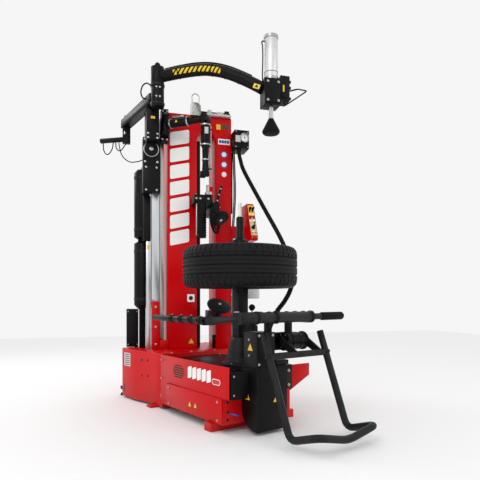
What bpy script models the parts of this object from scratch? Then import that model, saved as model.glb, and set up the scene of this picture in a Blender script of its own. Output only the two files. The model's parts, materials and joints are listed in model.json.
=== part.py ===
"""Leverless tyre changer with a portal column, a press arm and a wheel lift.

Metres, +Z up, front towards -Y. Two empties carry everything: "column_frame",
whose X axis runs along the column's front face, and "base_frame", which is
turned to the base's own directions. Lists of points are in one of those two.
"""

import math

import bmesh
import bpy
from mathutils import Matrix, Vector

# Driving dimensions
GAP = 0.0005                    # clearance between pieces that touch
ORIGIN = (0.08397, -0.45630, 0.0)  # column_frame's place, so that the machine stands centred
BASE_TURN = math.radians(21.04)  # the base is turned against the column
TURNTABLE = (0.1113, 0.150)     # turntable axis in base_frame
BASE_LEFT = -0.1385
BASE_RIGHT = 0.360
BASE_FRONT = -0.034
BASE_JOINT = 0.7235             # where the front box meets the rear cabinet
BASE_LOW = 0.050
DECK = 0.3525
CABINET_TOP = 0.380
CABINET_BACK = 1.330
SHEET = 0.004
COLUMN_FACE = 0.967
COLUMN_BACK = 1.240
COLUMN_LEFT = -0.297
COLUMN_RIGHT = 0.197
COLUMN_TOP = 2.170
WINDOW = 0.075                  # half width of the column's window
ARCH = 1.977                    # where the window's round top starts
WHEEL_Z = 0.9505
TYRE_RADIUS = 0.3525
TYRE_HALF = 0.125
LIFT_AXIS = (-0.150, 0.513)     # y, z of the wheel lift's pivot in base_frame
BAR_Y = -0.290
BAR_Z = 0.660
PRESS_POST = (-0.402, 0.708)
PRESS_HEAD = (0.296, 0.305)
TOOL_PIVOT = (-0.328, 0.872)
TOOL_END = (-0.069, 0.667)
TOOL_Z = 2.040
LEVER = (0.322, 0.300)          # lift lever's place on the deck, in base_frame

FINISHES = {
    "red_paint": ((0.60, 0.010, 0.018), 0.35, 0.0),
    "black_paint": ((0.018, 0.018, 0.018), 0.45, 0.0),
    "grey_paint": ((0.060, 0.060, 0.062), 0.50, 0.0),
    "aluminium": ((0.72, 0.73, 0.74), 0.30, 1.0),
    "bright_steel": ((0.66, 0.65, 0.62), 0.25, 1.0),
    "rubber": ((0.015, 0.015, 0.015), 0.80, 0.0),
    "tyre_rubber": ((0.020, 0.020, 0.021), 0.75, 0.0),
    "alloy": ((0.50, 0.50, 0.51), 0.35, 1.0),
    "plastic": ((0.030, 0.030, 0.030), 0.40, 0.0),
}


def clear_scene():
    for item in list(bpy.data.objects):
        bpy.data.objects.remove(item, do_unlink=True)


def finish_material(name):
    found = bpy.data.materials.get(name)
    if found:
        return found
    colour, roughness, metallic = FINISHES[name]
    made = bpy.data.materials.new(name)
    made.use_nodes = True
    shader = made.node_tree.nodes["Principled BSDF"]
    shader.inputs["Base Color"].default_value = (*colour, 1.0)
    shader.inputs["Roughness"].default_value = roughness
    shader.inputs["Metallic"].default_value = metallic
    return made


def empty(name, parent=None, place=(0, 0, 0), turn=0.0):
    made = bpy.data.objects.new(name, None)
    bpy.context.collection.objects.link(made)
    made.parent = parent
    made.location = place
    made.rotation_euler = (0, 0, turn)
    return made


def place_mesh(name, shape, parent, origin):
    """Make an object from a bmesh drawn in its parent's frame, with its origin moved."""
    bmesh.ops.translate(shape, vec=-Vector(origin), verts=shape.verts)
    bmesh.ops.recalc_face_normals(shape, faces=shape.faces)
    mesh = bpy.data.meshes.new(name)
    shape.to_mesh(mesh)
    shape.free()
    made = bpy.data.objects.new(name, mesh)
    bpy.context.collection.objects.link(made)
    made.parent = parent
    made.location = origin
    return made


def part(name, shape, finish, parent, origin=(0, 0, 0), add=(), cut=()):
    made = place_mesh(name, shape, parent, origin)
    made.data.materials.append(finish_material(finish))
    for operation, shapes in (("UNION", add), ("DIFFERENCE", cut)):
        for number, tool_shape in enumerate(shapes):
            tool = place_mesh(f"{name}_{operation.lower()}_{number}", tool_shape, parent, origin)
            tool.hide_render = True
            tool.display_type = "WIRE"
            step = made.modifiers.new(tool.name, "BOOLEAN")
            step.operation = operation
            step.solver = "EXACT"
            step.object = tool
    return made


def prism(outline, low, high, axis="Z"):
    """Extrude a closed outline: (x, y) along Z, (x, z) along Y or (y, z) along X."""
    order = {"Z": lambda a, b, c: (a, b, c), "Y": lambda a, b, c: (a, c, b), "X": lambda a, b, c: (c, a, b)}[axis]
    shape = bmesh.new()
    rings = []
    for level in (low, high):
        rings.append([shape.verts.new(order(a, b, level)) for a, b in outline])
    shape.faces.new(rings[0])
    shape.faces.new(rings[1])
    count = len(outline)
    for i in range(count):
        j = (i + 1) % count
        shape.faces.new((rings[0][i], rings[0][j], rings[1][j], rings[1][i]))
    return shape


def box(low, high):
    return prism([(low[0], low[1]), (high[0], low[1]), (high[0], high[1]), (low[0], high[1])], low[2], high[2])


def turned(profile, centre, axis="Z", steps=24, direction=None):
    """Turn a closed profile of (radius, height) about an axis through a centre."""
    shape = bmesh.new()
    rings = []
    for radius, height in profile:
        if radius < 1e-6:
            rings.append([shape.verts.new((0, 0, height))])
            continue
        ring = []
        for i in range(steps):
            angle = math.tau * i / steps
            ring.append(shape.verts.new((radius * math.cos(angle), radius * math.sin(angle), height)))
        rings.append(ring)
    for first, second in zip(rings, rings[1:] + rings[:1]):
        if len(first) == 1 and len(second) == 1:
            continue
        for i in range(steps):
            j = (i + 1) % steps
            if len(first) == 1:
                shape.faces.new((first[0], second[i], second[j]))
            elif len(second) == 1:
                shape.faces.new((first[i], first[j], second[0]))
            else:
                shape.faces.new((first[i], first[j], second[j], second[i]))
    aim = Vector(direction or {"X": (1, 0, 0), "Y": (0, 1, 0), "Z": (0, 0, 1)}[axis])
    turn = aim.to_track_quat("Z", "Y").to_matrix().to_4x4()
    bmesh.ops.transform(shape, matrix=Matrix.Translation(centre) @ turn, verts=shape.verts)
    return shape


def rod(centre, radius, low, high, axis="Z", steps=20, direction=None):
    return turned([(0, low), (radius, low), (radius, high), (0, high)], centre, axis, steps, direction)


def tube(path, radius, sides=12):
    """A solid round bar along a path; radius is one number or one for each point."""
    points = [Vector(p) for p in path]
    radii = radius if isinstance(radius, (list, tuple)) else [radius] * len(points)
    shape = bmesh.new()
    rings = []
    across = None
    for i, point in enumerate(points):
        before = points[max(i - 1, 0)]
        after = points[min(i + 1, len(points) - 1)]
        along = (after - before).normalized()
        if across is None:
            across = along.orthogonal().normalized()
        across = (across - along * across.dot(along)).normalized()
        other = along.cross(across)
        ring = []
        for k in range(sides):
            angle = math.tau * k / sides
            offset = across * math.cos(angle) + other * math.sin(angle)
            ring.append(shape.verts.new(point + offset * radii[i]))
        rings.append(ring)
    for first, second in zip(rings, rings[1:]):
        for k in range(sides):
            m = (k + 1) % sides
            shape.faces.new((first[k], first[m], second[m], second[k]))
    shape.faces.new(rings[0])
    shape.faces.new(rings[-1])
    return shape


def bent(points, bend, steps=4):
    """Replace each inner corner of a path with a short curve."""
    corners = [Vector(p) for p in points]
    path = [corners[0]]
    for before, corner, after in zip(corners, corners[1:], corners[2:]):
        start = corner + (before - corner).normalized() * bend
        end = corner + (after - corner).normalized() * bend
        for i in range(steps + 1):
            t = i / steps
            path.append(start * (1 - t) ** 2 + corner * 2 * t * (1 - t) + end * t ** 2)
    path.append(corners[-1])
    return path


def smooth(points, steps):
    """Points of a smooth curve that passes through the route's own points."""
    route = [Vector(p) for p in points]
    route = [route[0] * 2 - route[1]] + route + [route[-1] * 2 - route[-2]]
    path = []
    for a, b, c, d in zip(route, route[1:], route[2:], route[3:]):
        for i in range(steps):
            t = i / steps
            path.append(0.5 * (2 * b + (c - a) * t + (2 * a - 5 * b + 4 * c - d) * t ** 2
                               + (3 * b - a - 3 * c + d) * t ** 3))
    path.append(route[-2])
    return path


def hose(name, points, radius, finish, parent, steps=6):
    curve = bpy.data.curves.new(name, "CURVE")
    curve.dimensions = "3D"
    curve.bevel_depth = radius
    curve.bevel_resolution = 2
    curve.use_fill_caps = True
    path = smooth(points, steps)
    spline = curve.splines.new("POLY")
    spline.points.add(len(path) - 1)
    for place, point in zip(spline.points, path):
        place.co = (*point, 1.0)
    made = bpy.data.objects.new(name, curve)
    bpy.context.collection.objects.link(made)
    made.parent = parent
    curve.materials.append(finish_material(finish))
    return made


def arc(centre, radius, start, end, steps):
    points = []
    for i in range(steps + 1):
        angle = math.radians(start + (end - start) * i / steps)
        points.append((centre[0] + radius * math.cos(angle), centre[1] + radius * math.sin(angle)))
    return points


def build_base(base):
    """Sheet-metal base: front box, rear cabinet, near panel, deck and floor feet."""
    left = BASE_LEFT + SHEET
    front = [(left, BASE_FRONT), (BASE_RIGHT, BASE_FRONT), (BASE_RIGHT, BASE_JOINT - GAP), (left, BASE_JOINT - GAP)]
    inner = [(left + SHEET, BASE_FRONT + SHEET), (BASE_RIGHT - SHEET, BASE_FRONT + SHEET),
             (BASE_RIGHT - SHEET, BASE_JOINT - SHEET), (left + SHEET, BASE_JOINT - SHEET)]
    part("base_box", prism(front, BASE_LOW, DECK - 0.007), "red_paint", base,
         cut=[prism(inner, BASE_LOW - 0.05, DECK - 0.011)])

    corner = 0.035
    back = CABINET_BACK
    outline = [(-0.128, BASE_JOINT), (BASE_RIGHT, BASE_JOINT), (0.560, 0.800), (0.640, 0.860)]
    outline += [(0.640, back)]
    outline += arc((-0.170 + corner, back - corner), corner, 90, 180, 4)
    outline += [(-0.159, 1.077), (-0.116, 0.861)]
    hollow = [(-0.122, BASE_JOINT + SHEET), (BASE_RIGHT, BASE_JOINT + SHEET), (0.558, 0.804), (0.636, 0.863),
              (0.636, back - SHEET), (-0.135, back - SHEET), (-0.164, back - 0.036), (-0.154, 1.077), (-0.111, 0.861)]
    part("cabinet", prism(outline, 0.015, CABINET_TOP), "red_paint", base,
         cut=[prism(hollow, -0.05, CABINET_TOP - SHEET)])

    low_step = 0.200
    panel = [(BASE_FRONT, BASE_LOW), (BASE_JOINT - GAP, BASE_LOW), (BASE_JOINT - GAP, 0.380),
             (-0.086, 0.380), (-0.086, low_step), (BASE_FRONT, low_step)]
    part("side_panel", prism(panel, BASE_LEFT, BASE_LEFT + 0.003, "X"), "red_paint", base)
    x, y = LEVER
    pedestal = box((x - 0.028, y - 0.028, DECK - 0.003), (x + 0.028, y + 0.028, 0.580))
    dome = turned([(0, 0.560), (0.034, 0.560), (0.030, 0.615), (0.010, 0.626), (0, 0.626)], (x, y, 0), steps=16)
    part("deck_plate", box((left, BASE_FRONT, DECK - 0.0065), (BASE_RIGHT - 0.004, BASE_JOINT - GAP, DECK)),
         "black_paint", base, add=[pedestal, dome])
    part("foot_front", box((-0.170, 0.050, 0.0), (0.467, 0.120, BASE_LOW - GAP)), "red_paint", base)
    part("foot_middle", box((-0.170, 0.815, 0.0), (0.610, 0.880, 0.015 - GAP)), "red_paint", base)
    for name, x in (("foot_rear_left", -0.120), ("foot_rear_right", 0.560)):
        pad = [(0, 0), (0.030, 0), (0.030, 0.012), (0.014, 0.024), (0.009, 0.024), (0.009, 0.085), (0, 0.085)]
        arm = box((x - 0.022, back + GAP, 0.045), (x + 0.022, back + 0.075, 0.070))
        part(name, turned(pad, (x, back + 0.048, 0), steps=16), "rubber", base, add=[arm])


def build_column(frame):
    """Portal column with its arched window, its cap, guides and tank."""
    outer = [(COLUMN_LEFT, CABINET_TOP + GAP), (-WINDOW, CABINET_TOP + GAP), (-WINDOW, ARCH)]
    outer += arc((0, ARCH), WINDOW, 180, 0, 10)[1:-1]
    outer += [(WINDOW, ARCH), (WINDOW, CABINET_TOP + GAP), (COLUMN_RIGHT, CABINET_TOP + GAP),
              (COLUMN_RIGHT, COLUMN_TOP), (COLUMN_LEFT, COLUMN_TOP)]
    wall = 0.005
    low = CABINET_TOP - 0.05
    inner = [(COLUMN_LEFT + wall, low), (-WINDOW - wall, low), (-WINDOW - wall, ARCH)]
    inner += arc((0, ARCH), WINDOW + wall, 180, 0, 10)[1:-1]
    inner += [(WINDOW + wall, ARCH), (WINDOW + wall, low), (COLUMN_RIGHT - wall, low),
              (COLUMN_RIGHT - wall, COLUMN_TOP - wall), (COLUMN_LEFT + wall, COLUMN_TOP - wall)]
    part("column", prism(outer, COLUMN_FACE, COLUMN_BACK, "Y"), "red_paint", frame,
         cut=[prism(inner, COLUMN_FACE + wall, COLUMN_BACK - wall, "Y")])
    lug = box((0.150, 0.985, COLUMN_TOP + 0.030), (0.185, 1.060, COLUMN_TOP + 0.062))
    part("column_cap", box((-0.045, 0.975, COLUMN_TOP + GAP), (0.190, 1.120, COLUMN_TOP + 0.040)), "grey_paint",
         frame, add=[lug])

    top = 2.130
    part("guide_rail", box((-0.417, 0.990, CABINET_TOP + GAP), (-0.360, 1.060, top)), "aluminium", frame)
    part("guide_strip", box((-0.356, 0.985, CABINET_TOP + GAP), (-0.326, 1.050, top)), "bright_steel", frame)
    part("window_rail", box((-0.074, 0.985, CABINET_TOP + GAP), (-0.052, 1.030, ARCH)), "black_paint", frame)
    part("guide_tube", rod((-0.034, 1.130, 0), 0.016, CABINET_TOP + GAP, 2.020, steps=12), "red_paint", frame)

    bottom, waist, peak, radius = 0.690, 1.215, 1.763, 0.061
    tank = [(0, bottom), (0.040, bottom), (radius, bottom + 0.025), (radius, waist - 0.025), (0.030, waist - 0.006),
            (0.030, waist + 0.006), (radius, waist + 0.025), (radius, peak - 0.025), (0.040, peak), (0, peak)]
    tank = tank[1:-1] + [(0.012, peak), (0.012, peak - 0.006), (0.036, peak - 0.006), (0.057, peak - 0.027),
                         (0.057, waist + 0.027), (0.024, waist + 0.006), (0.024, waist - 0.006),
                         (0.057, waist - 0.027), (0.057, bottom + 0.027), (0.038, bottom + 0.006),
                         (0.012, bottom + 0.006), (0.012, bottom)]
    stand = box((-0.500, 1.120, CABINET_TOP + GAP), (-0.452, 1.140, bottom + 0.003))
    part("air_tanks", turned(tank, (-0.476, 1.150, 0), steps=20), "black_paint", frame, add=[stand])
    part("electric_box", box((-0.590, 1.215, CABINET_TOP + GAP), (-0.500, 1.300, 0.680)), "plastic", frame)


def build_turntable(base):
    """Bell gearbox, drive post, wheel flange and the clamped wheel that the table turns."""
    x, y = TURNTABLE
    bell = [(0, DECK + GAP), (0.112, DECK + GAP), (0.112, 0.368), (0.088, 0.376), (0.076, 0.440),
            (0.064, 0.500), (0.053, 0.524), (0, 0.524)]
    part("gearbox", turned(bell, (x, y, 0)), "grey_paint", base)

    half = 0.0355
    origin = (x, y, WHEEL_Z)
    part("drive_post", box((x - half, y - half, 0.524 + GAP), (x + half, y + half, 0.930 - GAP)), "black_paint",
         base, origin)
    spindle = rod((x, y, 0), 0.0105, 0.940, 1.353, steps=12)
    part("wheel_flange", rod((x, y, 0), 0.105, 0.930, WHEEL_Z - GAP), "bright_steel", base, origin, add=[spindle])

    lip, seat, well = 0.258, 0.2408, 0.232
    edge, end = 0.1005, 0.1075
    inner = 0.228
    rim = [(inner, -0.020), (well, -end), (lip, -end), (lip, -edge), (seat, -edge),
           (seat, edge), (lip, edge), (lip, end), (well, end), (inner, 0.045)]
    part("rim_barrel", turned(rim, origin, steps=40), "alloy", base, origin)
    disc = [(0.034, 0), (inner - GAP, 0), (inner - GAP, 0.0245), (0.034, 0.0245)]
    part("rim_disc", turned(disc, origin, steps=40), "alloy", base, origin)

    side = [(seat + GAP, edge - GAP), (0.262, edge - GAP), (0.275, 0.114), (0.300, TYRE_HALF),
            (0.333, 0.117), (0.349, 0.094), (TYRE_RADIUS, 0.050)]
    inside = [(0.338, 0.040), (0.333, 0.085), (0.322, 0.105), (0.300, 0.113), (0.282, 0.104), (0.265, 0.084),
              (0.258, 0.078), (seat + GAP, 0.078)]
    tyre = side + [(r, -z) for r, z in reversed(side)]
    tyre += [(r, -z) for r, z in reversed(inside)] + inside
    part("tyre", turned(tyre, origin, steps=40), "tyre_rubber", base, origin)

    hub = WHEEL_Z + 0.0245 + GAP
    nut = [(0.0125, hub), (0.046, hub), (0.052, 1.085), (0.052, 1.118), (0.030, 1.130), (0.024, 1.145),
           (0.024, 1.256), (0.020, 1.266), (0.0125, 1.266)]
    part("clamp_nut", turned(nut, (x, y, 0), steps=20), "black_paint", base, (x, y, hub))


def build_wheel_lift(base):
    """Tower on the base's front end, tilting tube cradle and the roller bars above it."""
    back = BASE_FRONT - 0.002
    side = [(-0.180, 0.020), (-0.180, 0.380), (back, 0.380)]
    side += arc((-0.160, 0.144), 0.124, 0, -90, 6)
    upper = box((-0.010, -0.170, 0.370), (0.120, -0.050, 0.572))
    wide = box((0.200, -0.172, 0.240), (0.250, -0.042, 0.379))
    plate = box((-0.130, -0.096, 0.200), (-0.010, back, 0.345))
    inside = [(-0.176, -0.020), (-0.176, 0.366), (back - SHEET, 0.366), (back - SHEET, 0.160), (-0.110, -0.020)]
    part("lift_tower", prism(side, -0.015, 0.205, "X"), "black_paint", base, add=[upper, wide, plate],
         cut=[prism(inside, -0.011, 0.201, "X")])

    y, z = LIFT_AXIS
    flange, barrel, shaft = 0.055, 0.047, 0.015
    drum = [(0, 0.165), (shaft, 0.165), (shaft, 0.200), (flange, 0.200), (flange, 0.210), (barrel, 0.210),
            (barrel, 0.346), (flange, 0.346), (flange, 0.356), (shaft, 0.356), (shaft, 0.391), (0, 0.391)]
    carrier = box((0.1205, y + 0.035, 0.460), (0.346, -0.050, 0.560))
    frame_bars = [carrier]
    frame_bars += [box((x, -0.090, 0.550), (x + 0.036, -0.060, 0.640)) for x in (0.130, 0.290)]
    frame_bars += [box((0.030, -0.092, 0.622), (0.335, -0.058, 0.650))]
    frame_bars += [box((x, BAR_Y + 0.0300, 0.624), (x + 0.036, -0.070, 0.648)) for x in (0.034, 0.288)]
    part("lift_bracket", turned(drum, (0, y, z), "X"), "black_paint", base, add=frame_bars)

    bar = [(0, -0.225), (0.024, -0.225), (0.0315, -0.205), (0.0315, -0.112), (0.0295, -0.108),
           (0.0295, 0.286), (0.018, 0.290), (0.018, 0.3665), (0, 0.3665)]
    part("lift_crossbar", turned(bar, (0, BAR_Y, BAR_Z), "X"), "grey_paint", base)

    left, right = -0.010, 0.420
    path = [(left, -0.230, 0.570), (left, -0.440, 0.036), (left, -0.640, 0.098), (0.205, -0.636, 0.052),
            (right, -0.640, 0.098), (right, -0.440, 0.036), (right, -0.230, 0.570)]
    cross = box((left + 0.005, -0.294, 0.434), (right - 0.005, -0.262, 0.466))
    arms = []
    bores = []
    for x in (0.176, 0.366):
        link = [(-0.294, 0.438), (-0.262, 0.438), (y + 0.028, z - 0.010), (y + 0.020, z + 0.022),
                (y - 0.010, z + 0.030), (y - 0.034, z + 0.012), (-0.294, 0.462)]
        arms.append(prism(link, x, x + 0.014, "X"))
        bores.append(rod((0, y, z), shaft + GAP, x - 0.01, x + 0.024, "X", steps=24))
    part("cradle", tube(bent(path, 0.050), 0.020), "grey_paint", base, (0.205, y, z), add=[cross] + arms, cut=bores)

    knuckle = (-0.2525, -0.312, BAR_Z)
    far = Vector((-0.490, -0.422, BAR_Z))
    grip = tube([(-0.262, -0.316, BAR_Z), (-0.440, -0.400, BAR_Z), far], [0.0145, 0.0185, 0.0195])
    pivot = rod((knuckle[0], knuckle[1], BAR_Z), 0.025, -0.030, 0.030, steps=16)
    part("side_arm", pivot, "grey_paint", base, knuckle, add=[grip])

    profile = [(0, -0.384), (0.014, -0.384)]
    for ring in (-0.360, -0.344, -0.280, -0.263, -0.185, -0.169, -0.091, -0.075):
        profile += [(0.014, ring - 0.006), (0.0200, ring - 0.004), (0.0200, ring + 0.004), (0.014, ring + 0.006)]
    profile += [(0.015, -0.060), (0.015, 0.117), (0, 0.117)]
    part("side_roller", turned(profile, (-0.490, 0, BAR_Z), "Y", steps=16), "black_paint", base, (-0.490, -0.14, BAR_Z))

    end = [(0, 0.3675), (0.0220, 0.3675), (0.0235, 0.372), (0.0235, 0.536), (0.018, 0.545), (0, 0.545)]
    part("end_roller", turned(end, (0, BAR_Y, BAR_Z), "X", steps=16), "rubber", base, (0.456, BAR_Y, BAR_Z))

    rings = [(0, -0.050), (0.010, -0.050)]
    for i in range(6):
        place = -0.030 + 0.064 * i
        rings += [(0.010, place - 0.014), (0.0180, place - 0.010), (0.0180, place + 0.010), (0.010, place + 0.014)]
    rings += [(0.010, 0.310), (0, 0.310)]
    rear = (0.130, -0.222, 0.673)
    part("rear_roller", turned(rings, (0, rear[1], rear[2]), "X", steps=16), "rubber", base, rear)


def build_tool(frame):
    """Mounting tool: carriage on the steel guide, swinging telescopic arm and hanging leg."""
    x, y = TOOL_PIVOT
    ears = [box((x - 0.026, y - 0.028, z), (x + 0.026, 0.910, z + 0.015)) for z in (1.965, 2.101)]
    pin = rod((x, y, 0), 0.012, 1.970, 2.110, steps=12)
    part("tool_carriage", box((-0.3555, 0.905, 1.930), (-0.301, 0.982, 2.170)), "black_paint", frame,
         (x, y, TOOL_Z), add=ears + [pin])

    along = Vector((TOOL_END[0] - x, TOOL_END[1] - y, 0))
    reach = along.length
    along.normalize()
    pivot = Vector((x, y, TOOL_Z))
    hub = turned([(0.0125, -0.0595), (0.0300, -0.0595), (0.0300, 0.0605), (0.0125, 0.0605)], pivot, steps=20)
    sleeve = turned([(0.0245, 0.042), (0.0320, 0.042), (0.0320, 0.200), (0.0245, 0.200)], pivot, direction=along)
    root = rod(pivot, 0.0320, 0.022, 0.045, direction=along, steps=20)
    bore = rod(pivot, 0.0125, -0.08, 0.08, steps=20)
    part("tool_arm", hub, "black_paint", frame, tuple(pivot), add=[root, sleeve], cut=[bore])

    joint = pivot + along * reach
    side = Vector((-along.y, along.x, 0))
    bar = rod(pivot, 0.0235, 0.055, reach - 0.034, direction=along, steps=20)
    neck = rod(pivot, 0.0180, reach - 0.050, reach - 0.004, direction=along, steps=20)
    knuckle = rod(joint, 0.030, -0.020, 0.020, direction=side, steps=20)
    part("tool_slide", bar, "bright_steel", frame, tuple(joint), add=[neck, knuckle])

    def leg_outline(points):
        return [tuple(joint + side * a + Vector((0, 0, b))) for a, b in points]

    ears = []
    for sign in (-1, 1):
        ears.append(rod(joint + side * 0.0275 * sign, 0.0300, -0.0065, 0.0065, direction=side, steps=16))
        plate = leg_outline([(0.0275 * sign, 0.0), (0.0275 * sign, -0.060)])
        ears.append(tube(plate, 0.0065, sides=4))
    body = [(0, -0.400), (0.020, -0.400), (0.026, -0.385), (0.022, -0.300), (0.025, -0.210), (0.033, -0.195),
            (0.035, -0.045), (0.030, -0.034), (0, -0.034)]
    hook = box((joint.x - 0.040, joint.y - 0.030, TOOL_Z - 0.412), (joint.x + 0.022, joint.y + 0.012, TOOL_Z - 0.382))
    part("tool_leg", turned(body, joint, steps=16), "black_paint", frame, tuple(joint), add=[hook] + ears)

    bracket = pivot + along * (reach - 0.080)
    clamp = [(-0.035, 0.026), (0.035, 0.026), (0.035, 0.100), (0.012, 0.118), (-0.035, 0.118)]
    plate = [(bracket.x + a, TOOL_Z + b) for a, b in clamp]
    loop = [(bracket.x - 0.024, bracket.y, TOOL_Z + 0.110)]
    loop += [(bracket.x + a, bracket.y, TOOL_Z + 0.120 + b) for a, b in arc((0.0, 0.040), 0.027, 200, -20, 8)]
    loop += [(bracket.x + 0.024, bracket.y, TOOL_Z + 0.092)]
    part("tool_bracket", prism(plate, bracket.y - 0.022, bracket.y + 0.022, "Y"), "bright_steel", frame,
         tuple(bracket), add=[tube(loop, 0.004, sides=8)])


def build_discs(frame):
    """Upper and lower bead-breaker discs, each on a carriage that slides in the window."""
    tilt = Vector((0.25, -0.62, -0.75)).normalized()
    upper_hub = Vector((0.050, 0.760, 1.362))
    column_side = [(-0.125, 0.800), (0.006, 0.800), (0.006, 0.940), (0.045, 0.940), (0.045, 1.060), (-0.045, 1.060),
                   (-0.045, 0.955), (-0.125, 0.955)]
    cylinder = rod((-0.062, 0.832, 0), 0.031, 1.212, 1.480, steps=16)
    part("upper_disc_carriage", prism(column_side, 1.470, 1.528), "black_paint", frame,
         (0, 0.967, 1.50), add=[cylinder])
    arm = box((0.012, 0.775, 1.396), (0.060, 1.050, 1.469))
    neck = rod(upper_hub, 0.024, -0.070, -0.012, direction=tilt, steps=16)
    part("upper_disc_arm", arm, "black_paint", frame, (0.036, 0.90, 1.43), add=[neck])
    disc = [(0, -0.0115), (0.030, -0.0115), (0.042, -0.004), (0.070, 0.014), (0.072, 0.020), (0.052, 0.030), (0, 0.034)]
    part("upper_disc", turned(disc, upper_hub, direction=tilt), "plastic", frame, tuple(upper_hub))

    lift = Vector((0.10, -0.60, 0.79)).normalized()
    lower_hub = Vector((0.036, 0.712, 0.694))
    part("lower_disc_carriage", box((-0.045, 0.880, 0.560), (0.045, 1.060, 0.620)), "black_paint", frame,
         (0, 0.967, 0.59))
    neck = rod(lower_hub, 0.026, -0.090, -0.012, direction=lift, steps=16)
    part("lower_disc_arm", box((0.006, 0.735, 0.6205), (0.060, 1.050, 0.672)), "black_paint", frame,
         (0.033, 0.90, 0.645), add=[neck])
    disc = [(0, -0.0115), (0.036, -0.0115), (0.055, -0.002), (0.088, 0.016), (0.090, 0.022), (0.060, 0.030), (0, 0.034)]
    part("lower_disc", turned(disc, lower_hub, direction=lift), "plastic", frame, tuple(lower_hub))


def build_press(frame):
    """Bead press: carriage on the aluminium guide, beam, curved swing arm and cylinder."""
    cover = box((-0.487, 0.905, 1.545), (-0.3655, 0.986, 1.950))
    neck = box((-0.470, 0.800, 1.900), (-0.380, 0.975, 2.130))
    bearing = rod((-0.428, 0.907, 1.860), 0.050, 0, 0.020, direction=(0, -1, 0))
    part("press_carriage", cover, "black_paint", frame, (-0.428, 0.987, 1.75), add=[neck, bearing],
         cut=[box((-0.481, 0.911, 1.551), (-0.3715, 0.995, 1.890))])

    front = Vector((-0.425, 0.722, 0))
    rear = Vector((-0.600, 1.310, 0))
    along = (rear - front).normalized()
    half = Vector((-along.y, along.x, 0)) * 0.034
    top = [front + half, front - half, rear - half, rear + half]
    beam = prism([(p.x, p.y) for p in top], 2.1305, 2.196)
    post_x, post_y = PRESS_POST
    post = turned([(0, 2.100), (0.046, 2.100), (0.046, 2.262), (0.014, 2.262), (0.014, 2.385), (0.022, 2.385),
                   (0.018, 2.402), (0, 2.408)], (post_x, post_y, 0), steps=20)
    drop = box((rear.x - 0.020, rear.y - 0.050, 2.005), (rear.x + 0.040, rear.y - 0.006, 2.150))
    hose_arm = tube([(-0.570, 1.270, 2.040), (-0.787, 1.400, 2.045)], 0.020)
    part("press_beam", beam, "black_paint", frame, (post_x, post_y, 2.16), add=[post, drop, hose_arm])

    x, y = PRESS_HEAD
    run = Vector((x - post_x, y - post_y, 0))
    heights = [(0.045, 2.312), (0.20, 2.322), (0.38, 2.325), (0.50, 2.312), (0.62, 2.283), (0.74, 2.238),
               (0.86, 2.184), (0.93, 2.148)]
    path = [Vector((post_x, post_y, z)) + run * s for s, z in heights]
    hub = turned([(0.0145, 2.2625), (0.046, 2.2625), (0.046, 2.375), (0.0145, 2.375)], (post_x, post_y, 0), steps=20)
    bore = rod((post_x, post_y, 0), 0.0145, 2.20, 2.40, steps=20)
    body = box((x - 0.058, y - 0.050, 2.020), (x + 0.050, y + 0.055, 2.190))
    rod_bore = rod((x, y, 0), 0.0160, 1.90, 2.30, steps=20)
    part("press_arm", tube(smooth(path, 2), 0.040, sides=14), "black_paint", frame, (post_x, post_y, 2.31),
         add=[hub, body], cut=[bore, rod_bore])
    part("press_valve", box((x + 0.0505, y - 0.050, 2.052), (x + 0.112, y + 0.045, 2.215)), "plastic", frame,
         (x, y, 2.13))
    shell = [(0.038, 2.1905), (0.0450, 2.1905), (0.0450, 2.487), (0.020, 2.487), (0.012, 2.500), (0, 2.500),
             (0, 2.478), (0.038, 2.478)]
    part("press_cylinder", turned(shell, (x, y, 0)), "aluminium", frame, (x, y, 2.33))
    part("press_rod", rod((x, y, 0), 0.0150, 1.943, 2.440, steps=20), "bright_steel", frame, (x, y, 1.943))
    cone = [(0, 1.843), (0.050, 1.843), (0.0575, 1.852), (0.0575, 1.864), (0.020, 1.936), (0.018, 1.9425), (0, 1.9425)]
    part("press_cone", turned(cone, (x, y, 0)), "rubber", frame, (x, y, 1.943))

    wire = [(x + 0.1160, y - 0.010, 2.132), (x + 0.170, y - 0.045, 2.140), (x + 0.215, y - 0.095, 2.112),
            (x + 0.085, y - 0.020, 2.028), (x + 0.085, y - 0.020, 2.0513)]
    part("press_handle", tube(bent(wire, 0.012, 3), 0.0045, sides=8), "black_paint", frame, (x, y, 2.13))
    hose("press_hose", [(-0.4518, 0.690, 2.240), (-0.478, 0.692, 2.252), (-0.505, 0.705, 2.235),
                        (-0.515, 0.725, 2.195), (-0.500, 0.742, 2.168), (-0.4748, 0.750, 2.165)],
         0.005, "rubber", frame)
    hose("cable_loop", [(-0.640, 1.278, 2.040), (-0.648, 1.260, 1.985), (-0.625, 1.225, 1.890),
                        (-0.575, 1.130, 1.820), (-0.520, 1.020, 1.795), (-0.4918, 0.955, 1.790)],
         0.004, "rubber", frame)


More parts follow.
